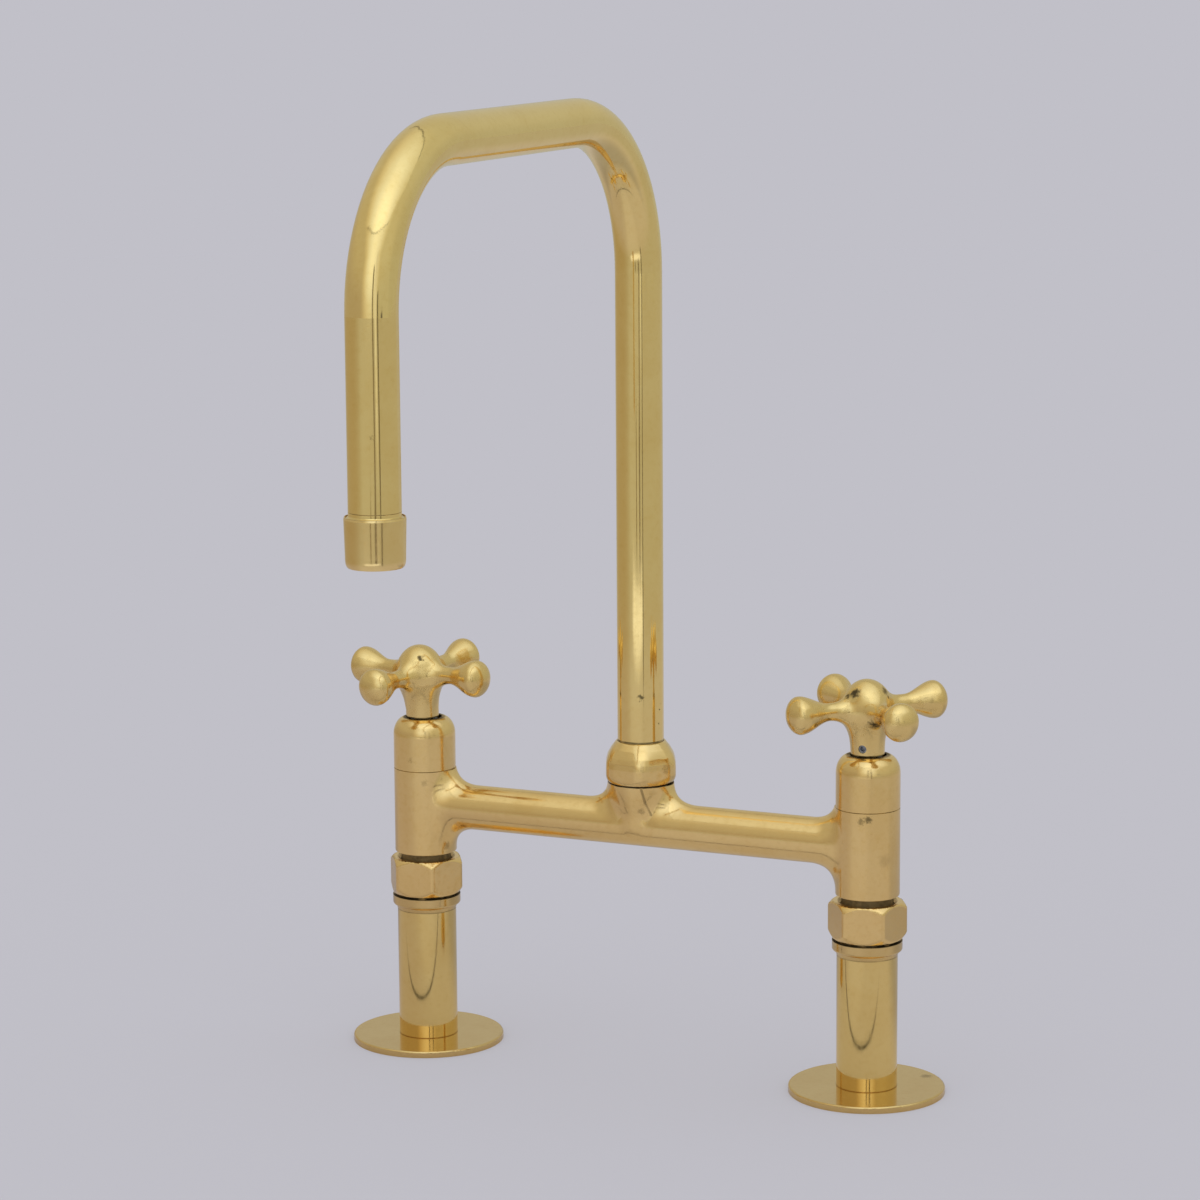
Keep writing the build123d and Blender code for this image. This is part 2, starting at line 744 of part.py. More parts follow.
def headwork_body():
    """Brass headwork: cage round the discs, male thread, sealing flange, hexagon and neck."""
    cage = headwork_cage_diameter / 2
    cage_bore = headwork_cage_bore / 2
    thread = valve_bore / 2 - thread_clearance
    thread_z = valve_body_top_z - headwork_thread_length
    flange = headwork_flange_diameter / 2
    neck = headwork_neck_diameter / 2
    bore = spindle_diameter / 2 + spindle_clearance
    body = turned([
        (bore, driver_ceiling_z),
        (cage_bore, driver_ceiling_z),
        (cage_bore, fixed_disc_z),
        (cage, fixed_disc_z),
        (cage, thread_z),
        (thread, thread_z),
        (thread, headwork_flange_z),
        (flange, headwork_flange_z),
        (flange, headwork_hex_z),
        (neck, headwork_hex_z),
        (neck, headwork_top_z),
        (bore, headwork_top_z),
    ])
    spanner = hexagon(headwork_hex_across_flats, headwork_hex_z, headwork_neck_z)
    body += spanner - rod(2 * bore, headwork_hex_z, headwork_neck_z)
    window = Box(headwork_flange_diameter, window_width, window_height)
    return body - Pos(0, 0, driver_foot_z + window_height / 2) * window


def headwork_gasket():
    """Fibre gasket under the headwork's flange."""
    return pipe(headwork_flange_diameter, valve_bore, valve_body_top_z, headwork_flange_z)


def spline_star(outer_diameter, root_diameter):
    """Toothed outline shared by the spindle's end and the handle's bore."""
    points = []
    for tooth in range(spline_teeth):
        angle = 360 * tooth / spline_teeth
        points.append(polar(outer_diameter / 2, angle))
        points.append(polar(root_diameter / 2, angle + 180 / spline_teeth))
    return make_face(Polyline(*points, close=True))


def spindle_ring_heights():
    """Centre heights of the spindle's two O-rings inside the headwork's neck."""
    middle_z = headwork_neck_z + headwork_neck_height / 2
    return middle_z - spindle_ring_spacing / 2, middle_z + spindle_ring_spacing / 2


def spindle(spline_turn):
    """Spindle: driver bar and key below, sealed shank, clip groove and splined end."""
    ceiling_z = driver_ceiling_z - disc_clearance
    shank = spindle_diameter
    driver_z = driver_foot_z + disc_clearance
    driver_length = headwork_cage_bore - 2 * driver_gap
    bar = Rot(0, 0, 90) * driver_blade(driver_width, driver_length, driver_z, ceiling_z)
    part = bar & rod(driver_length, driver_z, ceiling_z)
    key_z = driver_foot_z - driver_blade_depth
    part += Rot(0, 0, 90) * driver_blade(driver_blade_width, driver_blade_length, key_z, driver_z)
    part += rod(shank, ceiling_z, clip_z)
    part += rod(clip_groove_diameter, clip_z, clip_z + clip_thickness)
    spline_z = clip_z + clip_thickness
    star = Rot(0, 0, spline_turn) * spline_star(spline_diameter, spline_root_diameter)
    part += Pos(0, 0, spline_z) * extrude(star, spline_length + neck_foot_z - spline_z)
    floor = shank - 2 * spindle_groove_depth
    for ring_z in spindle_ring_heights():
        half = spindle_ring_section / 2 + disc_clearance
        part -= pipe(2 * shank, floor, ring_z - half, ring_z + half)
    return part


def spindle_rings():
    """Two O-rings on the spindle's shank."""
    outer = spindle_diameter / 2 + spindle_clearance / 2
    major = outer - spindle_ring_section / 2
    rings = [
        Pos(0, 0, ring_z) * Torus(major, spindle_ring_section / 2)
        for ring_z in spindle_ring_heights()
    ]
    return Compound(children=rings)


def spindle_clip():
    """Open retaining clip that keeps the spindle down in the headwork."""
    ring = pipe(clip_diameter, clip_groove_diameter, clip_z, clip_z + clip_thickness)
    mouth = Box(clip_diameter, clip_mouth, 2 * clip_thickness)
    return ring - Pos(-clip_diameter / 2, 0, clip_z + clip_thickness / 2) * mouth


def bonnet():
    """Round-shouldered cover that screws down over the headwork's flange."""
    wall = valve_body_diameter / 2
    hole = bonnet_hole_diameter / 2
    inside = bonnet_bore / 2
    cavity_z = valve_body_top_z + bonnet_cavity_height
    ceiling_z = bonnet_top_z - bonnet_top_wall
    brow = wall - bonnet_shoulder_width
    shoulder_z = bonnet_top_z - bonnet_shoulder_height
    edges = EllipticalCenterArc(
        (brow, shoulder_z), bonnet_shoulder_width, bonnet_shoulder_height, arc_size=90
    )
    edges += Polyline(
        (brow, bonnet_top_z),
        (hole, bonnet_top_z),
        (hole, ceiling_z),
        (hole + bonnet_side_wall, ceiling_z),
        (inside, cavity_z),
        (inside, valve_body_top_z),
        (wall - seam_chamfer, valve_body_top_z),
        (wall, valve_body_top_z + seam_chamfer),
        (wall, shoulder_z),
    )
    return revolve(Plane.XZ * make_face(edges), Axis.Z)


# --------------------------------------------------------------------------------------
# Cross handles
# --------------------------------------------------------------------------------------


def handle_hub():
    """Neck, waist and dome of the handle, with spare length below Z = 0 to trim off."""
    foot_z = -neck_waist_height
    neck = (neck_diameter / 2, foot_z)
    waist = (neck_waist_diameter / 2, neck_waist_height)
    hub = (hub_diameter / 2, hub_height)
    dome_z = handle_height - dome_radius
    dome = (dome_radius, dome_z)
    haunch = polar(dome_radius, 45)
    edges = Line((0, foot_z), neck)
    edges += Spline(neck, waist, hub, dome, tangents=[(0, 1), (0, 1)])
    edges += ThreePointArc(dome, (haunch[0], dome_z + haunch[1]), (0, handle_height))
    edges += Line((0, handle_height), (0, foot_z))
    return revolve(Plane.XZ * make_face(edges), Axis.Z)


def handle_arm():
    """One trumpet-shaped arm along +X from the hub's axis, with a rounded end."""
    root = (0, arm_root_radius)
    waist = (arm_waist_reach, arm_waist_radius)
    bulb = (arm_bulb_reach, arm_bulb_radius)
    tip = (arm_tip_reach, 0)
    edges = Line((0, 0), root)
    edges += Spline(root, waist, bulb, tangents=[(1, arm_root_slope), (1, 0)])
    edges += Spline(bulb, tip, tangents=[(1, 0), (0, -1)])
    edges += Line(tip, (0, 0))
    return Pos(0, 0, arm_height) * revolve(Plane.XZ * make_face(edges), Axis.X)


def axis_distance(edge):
    """Distance of an edge's centre from the Z axis."""
    middle = edge.center()
    return math.hypot(middle.X, middle.Y)


def handle_blank():
    """Hub and four arms with their blends, before the casting is trimmed and bored."""
    blank = handle_hub()
    for quarter in range(4):
        blank += Rot(0, 0, 45 + 90 * quarter) * handle_arm()
    near = dome_radius / 2
    far = arm_waist_reach
    seams = blank.edges().filter_by(lambda edge: near < axis_distance(edge) < far)
    seams = seams.filter_by(lambda edge: edge.center().Z > neck_waist_height)
    return fillet(seams, arm_fillet)


def leaning(solid, lean, side):
    """Leans a solid by an angle towards a direction, about a point below the neck."""
    tilt = Rot(0, 0, side) * Rot(0, lean, 0) * Rot(0, 0, -side)
    return Pos(0, 0, -handle_lean_depth) * tilt * Pos(0, 0, handle_lean_depth) * solid


def cross_handle(lean, lean_side):
    """Cast handle, bored true; its grub screw points along +X, midway between arms."""
    trim = Pos(0, 0, -neck_diameter) * Box(4 * neck_diameter, 4 * neck_diameter, 2 * neck_diameter)
    handle = leaning(handle_blank(), lean, lean_side) - trim
    grow = 2 * spline_clearance
    star = spline_star(spline_diameter + grow, spline_root_diameter + grow)
    handle -= extrude(star, bore_depth)
    screw_hole = Plane.YZ * Circle(screw_diameter / 2)
    handle -= Pos(0, 0, screw_height) * extrude(screw_hole, neck_waist_diameter)
    return handle


def handle_screw():
    """Socket grub screw that locks the handle on the spindle."""
    foot = spline_diameter / 2 + spline_clearance + screw_tip_gap
    thread = screw_diameter / 2 - thread_clearance
    screw = Plane.YZ.offset(foot) * Circle(thread)
    screw = extrude(screw, screw_length)
    socket = Plane.YZ.offset(foot + screw_length - screw_socket_depth)
    screw -= extrude(socket * RegularPolygon(screw_socket / 2, 6, major_radius=False), screw_socket_depth)
    return Pos(0, 0, screw_height) * screw


# --------------------------------------------------------------------------------------
# Assembly
# --------------------------------------------------------------------------------------

nodes = {
    "bridge_body": bridge_body(),
    "riser_nut": riser_nut(),
    "swivel_washer": swivel_washer(),
    "swivel_spigot": swivel_spigot(),
    "swivel_o_rings": swivel_o_rings(),
    "spout_tube": spout_tube(),
    "outlet_collar": outlet_collar(),
    "aerator_shell": aerator_shell(),
    "aerator_washer": aerator_washer(),
    "aerator_core": aerator_core(),
    "aerator_filter": aerator_filter(),
}

left_handle = cross_handle(handle_lean_left, handle_lean_side_left)
right_handle = cross_handle(handle_lean_right, handle_lean_side_right)
sides = (
    ("left", -1, union_nut_turn_left, screw_angle_left, left_handle),
    ("right", 1, union_nut_turn_right, screw_angle_right, right_handle),
)
for name, side, nut_turn, screw_angle, handle in sides:
    at_neck = Pos(0, 0, neck_foot_z) * Rot(0, 0, screw_angle)
    pieces = {
        "deck_flange": deck_flange(),
        "leg_pipe": leg_pipe(),
        "leg_fitting": leg_fitting(),
        "union_nut": union_nut(nut_turn),
        "union_washer": union_washer(),
        "union_tail": union_tail(),
        "seat_seal": seat_seal(),
        "fixed_disc": fixed_disc(),
        "moving_disc": moving_disc(),
        "headwork_body": headwork_body(),
        "headwork_gasket": headwork_gasket(),
        "spindle": spindle(screw_angle),
        "spindle_rings": spindle_rings(),
        "spindle_clip": spindle_clip(),
        "bonnet": bonnet(),
        "cross_handle": at_neck * handle,
        "handle_screw": at_neck * handle_screw(),
    }
    for piece, solid in pieces.items():
        nodes[f"{name}_{piece}"] = at_valve(side, solid)

os.makedirs("parts", exist_ok=True)
for node, solid in nodes.items():
    export_step(solid, f"parts/{node}.step")
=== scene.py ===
import json
import math

import bmesh
import bpy
import numpy as np
from mathutils import Matrix, Vector


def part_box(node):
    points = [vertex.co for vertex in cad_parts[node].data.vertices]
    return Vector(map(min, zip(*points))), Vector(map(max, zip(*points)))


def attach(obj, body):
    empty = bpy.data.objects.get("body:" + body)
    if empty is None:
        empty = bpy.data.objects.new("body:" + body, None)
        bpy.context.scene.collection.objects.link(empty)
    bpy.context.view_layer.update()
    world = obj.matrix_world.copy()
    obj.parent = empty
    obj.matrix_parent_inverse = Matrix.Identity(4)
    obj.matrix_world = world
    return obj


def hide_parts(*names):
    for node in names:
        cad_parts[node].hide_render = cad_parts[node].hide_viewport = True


# Bridge kitchen faucet in unlacquered brass. Metres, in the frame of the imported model:
# +Z up from the deck, +X along the bridge, spout towards -Y.

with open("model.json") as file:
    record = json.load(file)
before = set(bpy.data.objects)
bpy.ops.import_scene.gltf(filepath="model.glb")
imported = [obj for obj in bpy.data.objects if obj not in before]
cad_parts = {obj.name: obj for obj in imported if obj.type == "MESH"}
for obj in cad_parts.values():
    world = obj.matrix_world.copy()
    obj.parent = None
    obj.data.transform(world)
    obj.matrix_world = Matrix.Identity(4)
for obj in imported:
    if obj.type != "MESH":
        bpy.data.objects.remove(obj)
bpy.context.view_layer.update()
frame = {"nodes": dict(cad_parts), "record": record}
nodes = frame["nodes"]

MILLIMETRE = 0.001
VALVE_X = 101.6                         # millimetres from the middle to each valve's axis


def linked(name, data):
    """A new object, already in the scene."""
    thing = bpy.data.objects.new(name, data)
    bpy.context.scene.collection.objects.link(thing)
    return thing


def mesh_of(shape, name):
    mesh = bpy.data.meshes.new(name)
    shape.to_mesh(mesh)
    shape.free()
    return mesh


# --------------------------------------------------------------------------------------
# Camera
# --------------------------------------------------------------------------------------

CAMERA_PLACE = Vector((0.64020, -1.47429, 0.48639))
CAMERA_YAW = math.radians(24.069)       # turned left from looking along +Y
CAMERA_PITCH = math.radians(10.081)     # tilted down
CAMERA_ROLL = math.radians(-0.383)
FOCAL_LENGTH = 117.26                   # millimetres, on a sensor of the next width
SENSOR_WIDTH = 36
CLIP = (0.05, 50)                       # nearest and farthest that the camera sees


def make_camera():
    forward = Vector((
        -math.sin(CAMERA_YAW) * math.cos(CAMERA_PITCH),
        math.cos(CAMERA_YAW) * math.cos(CAMERA_PITCH),
        -math.sin(CAMERA_PITCH),
    ))
    level_right = Vector((math.cos(CAMERA_YAW), math.sin(CAMERA_YAW), 0))
    level_up = level_right.cross(forward)
    right = level_right * math.cos(CAMERA_ROLL) + level_up * math.sin(CAMERA_ROLL)
    up = right.cross(forward)
    data = bpy.data.cameras.new("camera")
    data.lens = FOCAL_LENGTH
    data.sensor_width = SENSOR_WIDTH
    data.clip_start, data.clip_end = CLIP
    camera = linked("camera", data)
    camera.matrix_world = Matrix((
        (right.x, up.x, -forward.x, CAMERA_PLACE.x),
        (right.y, up.y, -forward.y, CAMERA_PLACE.y),
        (right.z, up.z, -forward.z, CAMERA_PLACE.z),
        (0, 0, 0, 1),
    ))
    bpy.context.scene.camera = camera


# --------------------------------------------------------------------------------------
# Node helpers
# --------------------------------------------------------------------------------------


class Tree:
    """Short calls for building a node tree."""

    def __init__(self, tree):
        self.nodes = tree.nodes
        self.links = tree.links
        self.nodes.clear()

    def add(self, kind, inputs=None, **settings):
        node = self.nodes.new(kind)
        for name, value in settings.items():
            setattr(node, name, value)
        for key, value in (inputs or {}).items():
            self.put(value, node.inputs[key])
        return node

    def put(self, value, socket):
        if isinstance(value, bpy.types.NodeSocket):
            self.links.new(value, socket)
        elif isinstance(value, bpy.types.Node):
            self.links.new(value.outputs[0], socket)
        else:
            socket.default_value = value

    def math(self, operation, a, b=0.0, c=0.0, clamp=False):
        inputs = {0: a, 1: b, 2: c}
        return self.add("ShaderNodeMath", inputs, operation=operation, use_clamp=clamp).outputs[0]

    def product(self, first, *others):
        for other in others:
            first = self.math("MULTIPLY", first, other)
        return first

    def weighted(self, a, share_a, b, share_b):
        return self.math("ADD", self.product(a, share_a), self.product(b, share_b))

    def axes(self, vector):
        return self.add("ShaderNodeSeparateXYZ", {0: vector}).outputs

    def vector(self, operation, a, b):
        """Vector maths that gives a vector."""
        return self.add("ShaderNodeVectorMath", {0: a, 1: b}, operation=operation).outputs[0]

    def measure(self, operation, a, b=(0, 0, 0)):
        """Vector maths that gives a number."""
        node = self.add("ShaderNodeVectorMath", {0: a, 1: b}, operation=operation)
        return node.outputs["Value"]

    def scaled(self, vector, scale):
        inputs = {0: vector, "Scale": scale}
        return self.add("ShaderNodeVectorMath", inputs, operation="SCALE").outputs[0]

    def mix(self, factor, a, b, blend="MIX"):
        node = self.add("ShaderNodeMix", data_type="RGBA", blend_type=blend)
        self.put(factor, node.inputs[0])
        self.put(a, node.inputs[6])
        self.put(b, node.inputs[7])
        return node.outputs[2]

    def shader_mix(self, factor, a, b):
        return self.add("ShaderNodeMixShader", {0: factor, 1: a, 2: b}).outputs[0]

    def span(self, value, low, high, out_low=0.0, out_high=1.0, smooth=True):
        """Maps low..high onto out_low..out_high and holds it there beyond."""
        kind = "SMOOTHSTEP" if smooth else "LINEAR"
        inputs = dict(enumerate((value, low, high, out_low, out_high)))
        return self.add("ShaderNodeMapRange", inputs, interpolation_type=kind).outputs[0]

    def from_segment(self, place, start, end):
        """Distance from a place to the line between two points."""
        way = Vector(end) - Vector(start)
        offset = self.vector("SUBTRACT", place, start)
        along = self.measure("DOT_PRODUCT", offset, way)
        share = self.math("DIVIDE", along, way.length_squared, clamp=True)
        return self.measure("DISTANCE", offset, self.scaled(way, share))

    def noise(self, vector, scale, detail=2.0, roughness=0.5, distortion=0.0, output=0):
        inputs = {"Vector": vector, "Scale": scale, "Detail": detail,
                  "Roughness": roughness, "Distortion": distortion}
        return self.add("ShaderNodeTexNoise", inputs).outputs[output]


def rgba(colour):
    return (*colour, 1.0)


def new_material(name):
    material = bpy.data.materials.new(name)
    material.use_nodes = True
    return material, Tree(material.node_tree)


# --------------------------------------------------------------------------------------
# Studio: floor, world and the cards that the metal mirrors
# --------------------------------------------------------------------------------------

BACKGROUND = (0.533, 0.527, 0.578)

# The room above the horizon, as the metal mirrors it
ROOM_LIGHT = 0.53
ROOM_SWING = 0.03                       # added on the bright side and taken off on the other
BRIGHT_SIDE = math.radians(25)          # azimuth of the bright side
HORIZON_SHARE = 0.89                    # share of the light that is left at the horizon
LOWEST = 0.02                           # height below which the ceiling plane isn't followed

# The window and the panel lie on a ceiling plane, at 1 above the object. Its two directions
# are turned from X and Y by the same angle.
PANEL_TURN = math.radians(17.0)
WINDOW_WAY = (0.49, 0.87)               # the way down the window: forward and to the right
WINDOW_LIGHT = 0.60
PANEL_REACH = (-1.10, -0.30, 1.22, 1.37)   # along the first direction: fades in, fades out
PANEL_FRONT = (-1.01, 0.60, 0.10)       # front edge: place, bow, and where it starts to bow
PANEL_BACK = (0.62, 0.45, 0.80)         # rear edge: place, slope, and where the slope ends
PANEL_BACK_LEFT = (-0.5, 0.42)          # rear edge on the left: where it turns, and its slope
PANEL_GAIN = 0.20                       # share by which the panel is lighter than the room
PANEL_SOFT = 0.03                       # width over which its edges fade
RIM = (-0.012, 0.014)                   # dark rim of the panel: place outside it, half width
RIM_FRONT = (0.50, 0.87)                # its front stretch: middle, half length
RIM_BACK = (-0.35, 1.15)                # its rear stretch
RIM_LOWEST = 0.3                        # height below which it doesn't show
RIM_SHADE = (0.16, 0.16, 0.16)

# Tints of that light
TINT_DIM_SIDE = (1.04, 1.0, 0.84)
TINT_BRIGHT_SIDE = (0.98, 1.0, 0.88)
TINT_LOW_LEFT = (0.96, 0.88, 0.74)
TINT_WINDOW = (0.92, 1.0, 1.08)


def window_light(tree, first, second, height):
    """The bright band of the window, wider and softer the farther it runs down."""
    down = tree.weighted(first, WINDOW_WAY[0], second, -WINDOW_WAY[1])
    beside = tree.weighted(first, WINDOW_WAY[1], second, WINDOW_WAY[0])
    spread = tree.math("MAXIMUM", tree.product(down, 0.6), 1.0)
    beside = tree.math("DIVIDE", beside, spread)
    return tree.product(
        tree.span(down, -1.0, 1.0, 0.0, WINDOW_LIGHT),
        tree.span(beside, -1.15, 0.20),
        tree.span(beside, 0.25, 1.70, 1.0, 0.1),
        tree.span(height, -0.10, 0.40, 0.45, 1.0))


def panel_and_rim(tree, first, second, height):
    """Masks of the overhead panel and of the dark rim along its front and rear edges."""
    bow = tree.math("MAXIMUM", tree.math("SUBTRACT", first, PANEL_FRONT[2]), 0.0)
    front = tree.math("MULTIPLY_ADD", tree.product(bow, bow), PANEL_FRONT[1], PANEL_FRONT[0])
    slope = tree.math("MINIMUM", tree.math("MAXIMUM", first, 0.0), PANEL_BACK[2])
    back = tree.math("MULTIPLY_ADD", slope, PANEL_BACK[1], PANEL_BACK[0])
    leftward = tree.math("MAXIMUM", tree.math("SUBTRACT", PANEL_BACK_LEFT[0], first), 0.0)
    back = tree.math("MULTIPLY_ADD", leftward, PANEL_BACK_LEFT[1], back)
    from_front = tree.math("SUBTRACT", second, front)
    from_back = tree.math("SUBTRACT", back, second)
    panel = tree.product(
        tree.span(from_front, 0.0, PANEL_SOFT),
        tree.span(from_back, 0.0, PANEL_SOFT),
        tree.span(first, PANEL_REACH[0], PANEL_REACH[1]),
        tree.span(first, PANEL_REACH[2], PANEL_REACH[3], 1.0, 0.0))
    rims = [tree.product(tree.math("COMPARE", away, *RIM), tree.math("COMPARE", first, *stretch))
            for away, stretch in ((from_front, RIM_FRONT), (from_back, RIM_BACK))]
    rim = tree.product(tree.math("MAXIMUM", *rims), tree.math("GREATER_THAN", height, RIM_LOWEST))
    return panel, rim


def sky_colour(tree, direction):
    """Light that the metal mirrors from above the horizon."""
    axes = tree.axes(direction)
    azimuth = tree.math("ARCTAN2", axes[1], axes[0])
    rightness = tree.math("COSINE", tree.math("SUBTRACT", azimuth, BRIGHT_SIDE))
    light = tree.math("MULTIPLY_ADD", rightness, ROOM_SWING, ROOM_LIGHT)
    light = tree.product(light, tree.span(axes[2], 0.0, 0.4, HORIZON_SHARE, 1.0))
    height = tree.math("MAXIMUM", axes[2], LOWEST)
    across = tree.math("DIVIDE", axes[0], height)
    along = tree.math("DIVIDE", axes[1], height)
    cosine, sine = math.cos(PANEL_TURN), math.sin(PANEL_TURN)
    first = tree.weighted(across, cosine, along, -sine)
    second = tree.weighted(across, sine, along, cosine)
    light = tree.math("ADD", light, window_light(tree, first, second, axes[2]))
    panel, rim = panel_and_rim(tree, first, second, axes[2])
    light = tree.product(light, tree.math("MULTIPLY_ADD", panel, PANEL_GAIN, 1.0))
    light = tree.mix(rim, light, rgba(RIM_SHADE))
    tint = tree.mix(tree.span(rightness, -1.0, 1.0), rgba(TINT_DIM_SIDE), rgba(TINT_BRIGHT_SIDE))
    low_left = tree.product(tree.span(rightness, 0.0, -0.9),
                            tree.span(axes[2], 0.0, 0.45, 1.0, 0.0))
    tint = tree.mix(low_left, tint, rgba(TINT_LOW_LEFT))
    tint = tree.mix(tree.span(light, 0.55, 1.05), tint, rgba(TINT_WINDOW))
    return tree.mix(1.0, light, tint, "MULTIPLY")


def make_world():
    world = bpy.data.worlds.new("studio")
    bpy.context.scene.world = world
    world.use_nodes = True
    tree = Tree(world.node_tree)
    path = tree.add("ShaderNodeLightPath").outputs
    direction = tree.add("ShaderNodeTexCoord").outputs["Generated"]
    even, seen, mirrored = (
        tree.add("ShaderNodeBackground", {0: colour, 1: 1.0}).outputs[0]
        for colour in (rgba((1.0, 1.0, 1.0)), rgba(BACKGROUND), sky_colour(tree, direction)))
    clear = tree.math("MAXIMUM", path["Is Camera Ray"], path["Is Transmission Ray"])
    lit = tree.shader_mix(path["Is Glossy Ray"], even, mirrored)
    tree.add("ShaderNodeOutputWorld", {0: tree.shader_mix(clear, lit, seen)})


FLOOR_RADIUS = 4.0
FLOOR_LIFT = 0.5                        # share of the shadow that the bright paper floor hides
# Painted light and shade in the floor as the metal mirrors it: lighter and whiter close by.
FLOOR_NEAR = (0.545, 0.525, 0.540)      # the floor's colour in the metal, close by and far off
FLOOR_FAR = (0.475, 0.470, 0.424)
# Painted shade near the left, a browner tone far to the left, painted light in front.
FLOOR_LIGHT_AND_SHADE = (                        # azimuth, cosines and reaches where a shade fades in
    (-172, (0.45, 0.95), (0.05, 0.20), (0.88, 0.85, 0.86)),
    (-172, (0.45, 0.95), (0.40, 1.20), (0.99, 0.91, 0.74)),
    (-88, (0.80, 0.97), (0.05, 0.15), (1.07, 1.08, 1.10)),
)
# Painted shadow of the faucet on the floor close behind it.
PAINTED_SHADOW_BEHIND = (0.72, 0.74, 0.78)


def floor_colour(tree, place):
    """Mirrored floor: painted light in front, browner at the left, painted shadow close behind."""
    axes = tree.axes(place)
    reach = tree.measure("LENGTH", place)
    tone = tree.mix(tree.span(reach, 0.45, 1.30), rgba(FLOOR_NEAR), rgba(FLOOR_FAR))
    azimuth = tree.math("ARCTAN2", axes[1], axes[0])
    for towards, cosines, reaches, shade in FLOOR_LIGHT_AND_SHADE:
        nearness = tree.math("COSINE", tree.math("SUBTRACT", azimuth, math.radians(towards)))
        share = tree.product(tree.span(nearness, *cosines), tree.span(reach, *reaches))
        tone = tree.mix(share, tone, tree.mix(1.0, tone, rgba(shade), "MULTIPLY"))
    # Painted shadow close behind the faucet.
    behind = tree.product(tree.span(axes[1], 0.02, 0.15), tree.span(reach, 0.30, 0.80, 1.0, 0.0))
    return tree.mix(behind, tone, rgba(PAINTED_SHADOW_BEHIND), "MULTIPLY")


def make_floor():
    shape = bmesh.new()
    bmesh.ops.create_circle(shape, cap_ends=True, segments=96, radius=FLOOR_RADIUS)
    floor = linked("floor", mesh_of(shape, "floor"))
    material, tree = new_material("floor")
    path = tree.add("ShaderNodeLightPath").outputs
    place = tree.add("ShaderNodeTexCoord").outputs["Object"]
    shaded = tree.add("ShaderNodeBsdfDiffuse", {0: rgba(BACKGROUND)}).outputs[0]
    seen = tree.add("ShaderNodeEmission", {0: rgba(BACKGROUND), 1: 1.0}).outputs[0]
    lift = tree.product(path["Is Camera Ray"], FLOOR_LIFT)
    paper = tree.shader_mix(lift, shaded, seen)
    mirrored = tree.add("ShaderNodeBsdfDiffuse", {0: floor_colour(tree, place)}).outputs[0]
    surface = tree.shader_mix(path["Is Glossy Ray"], paper, mirrored)
    tree.add("ShaderNodeOutputMaterial", {0: surface})
    floor.data.materials.append(material)


def card(name, centre, facing, size, colour, soft=(0.3, 0.3), roll=0.0):
    """A glowing or dark panel that only the metal mirrors; its edges fade over a share of it."""
    mesh = bpy.data.meshes.new(name)
    corners = [(-0.5, -0.5), (0.5, -0.5), (0.5, 0.5), (-0.5, 0.5)]
    mesh.from_pydata([(x * size[0], y * size[1], 0) for x, y in corners], [], [(0, 1, 2, 3)])
    layer = mesh.uv_layers.new(name="card")
    for loop, (x, y) in enumerate(corners):
        layer.data[loop].uv = (x + 0.5, y + 0.5)
    panel = linked(name, mesh)
    turn = Vector(facing).normalized().to_track_quat("Z", "Y").to_matrix().to_4x4()
    panel.matrix_world = Matrix.Translation(centre) @ turn @ Matrix.Rotation(roll, 4, "Z")
    panel.visible_camera = False
    panel.visible_diffuse = False
    panel.visible_shadow = False
    panel.visible_transmission = False
    material, tree = new_material(name)
    uv = tree.axes(tree.add("ShaderNodeUVMap", uv_map="card"))
    mask = 1.0
    for axis, edge in enumerate(soft):
        rise = tree.span(uv[axis], 0.0, edge)
        fall = tree.span(uv[axis], 1.0 - edge, 1.0, 1.0, 0.0)
        mask = tree.product(mask, tree.product(rise, fall))
    clear = tree.add("ShaderNodeBsdfTransparent").outputs[0]
    glow = tree.add("ShaderNodeEmission", {0: rgba(colour), 1: 1.0}).outputs[0]
    tree.add("ShaderNodeOutputMaterial", {0: tree.shader_mix(mask, clear, glow)})
    mesh.materials.append(material)


def around(azimuth, elevation, distance, target):
    """A point at an azimuth from +X and an elevation, in degrees, as seen from a target."""
    a, e = math.radians(azimuth), math.radians(elevation)
    return Vector(target) + distance * Vector((
        math.cos(e) * math.cos(a), math.cos(e) * math.sin(a), math.sin(e)))


# Upright strips in front, placed as the outlet sees them: the stands of the studio, the light
# between two of them, and low dark things on the floor.
OUTLET_AXIS = Vector((0, -0.239, 0))
UPRIGHTS = (                            # name, azimuth, distance, width, shade, foot and top, edges
    ("gap_light", -47.5, 0.95, 0.190, (0.74, 0.77, 0.78), (0.13, 0.90), (0.35, 0.10)),
    ("stand_left", -58.8, 0.90, 0.110, (0.20, 0.18, 0.15), (0.0, 0.75), (0.35, 0.05)),
    ("stand_right", -37.6, 0.60, 0.065, (0.11, 0.10, 0.08), (0.0, 0.43), (0.35, 0.05)),
    ("low_left", -79.4, 1.05, 0.100, (0.18, 0.15, 0.09), (0.0, 0.125), (0.30, 0.15)),
    ("low_right", -61.0, 1.05, 0.170, (0.14, 0.13, 0.10), (0.0, 0.125), (0.30, 0.15)),
)


def make_cards():
    up = (0, 0, 1)
    # A pool of window light on the floor, painted as a glowing card that only the metal mirrors.
    card("floor_light_pool", around(-78, 0, 1.04, (0, 0, 0.002)), up, (1.15, 0.36), (1.00, 1.04, 1.12),
         (0.22, 0.22), math.radians(12))
    for name, azimuth, distance, width, shade, (low, high), soft in UPRIGHTS:
        centre = around(azimuth, 0, distance, OUTLET_AXIS)
        facing = OUTLET_AXIS - centre
        centre.z = (low + high) / 2
        card(name, centre, facing, (width, high - low), shade, soft)
    middle = Vector((0, 0, 0.2))
    head = around(-30, 3, 1.35, middle)
    card("stand_head", head, middle - head, (0.24, 0.07), (0.10, 0.10, 0.11))
    card("floor_line", Vector((0.0, -0.082, 0.0012)), up, (0.62, 0.009), (0.06, 0.06, 0.06))
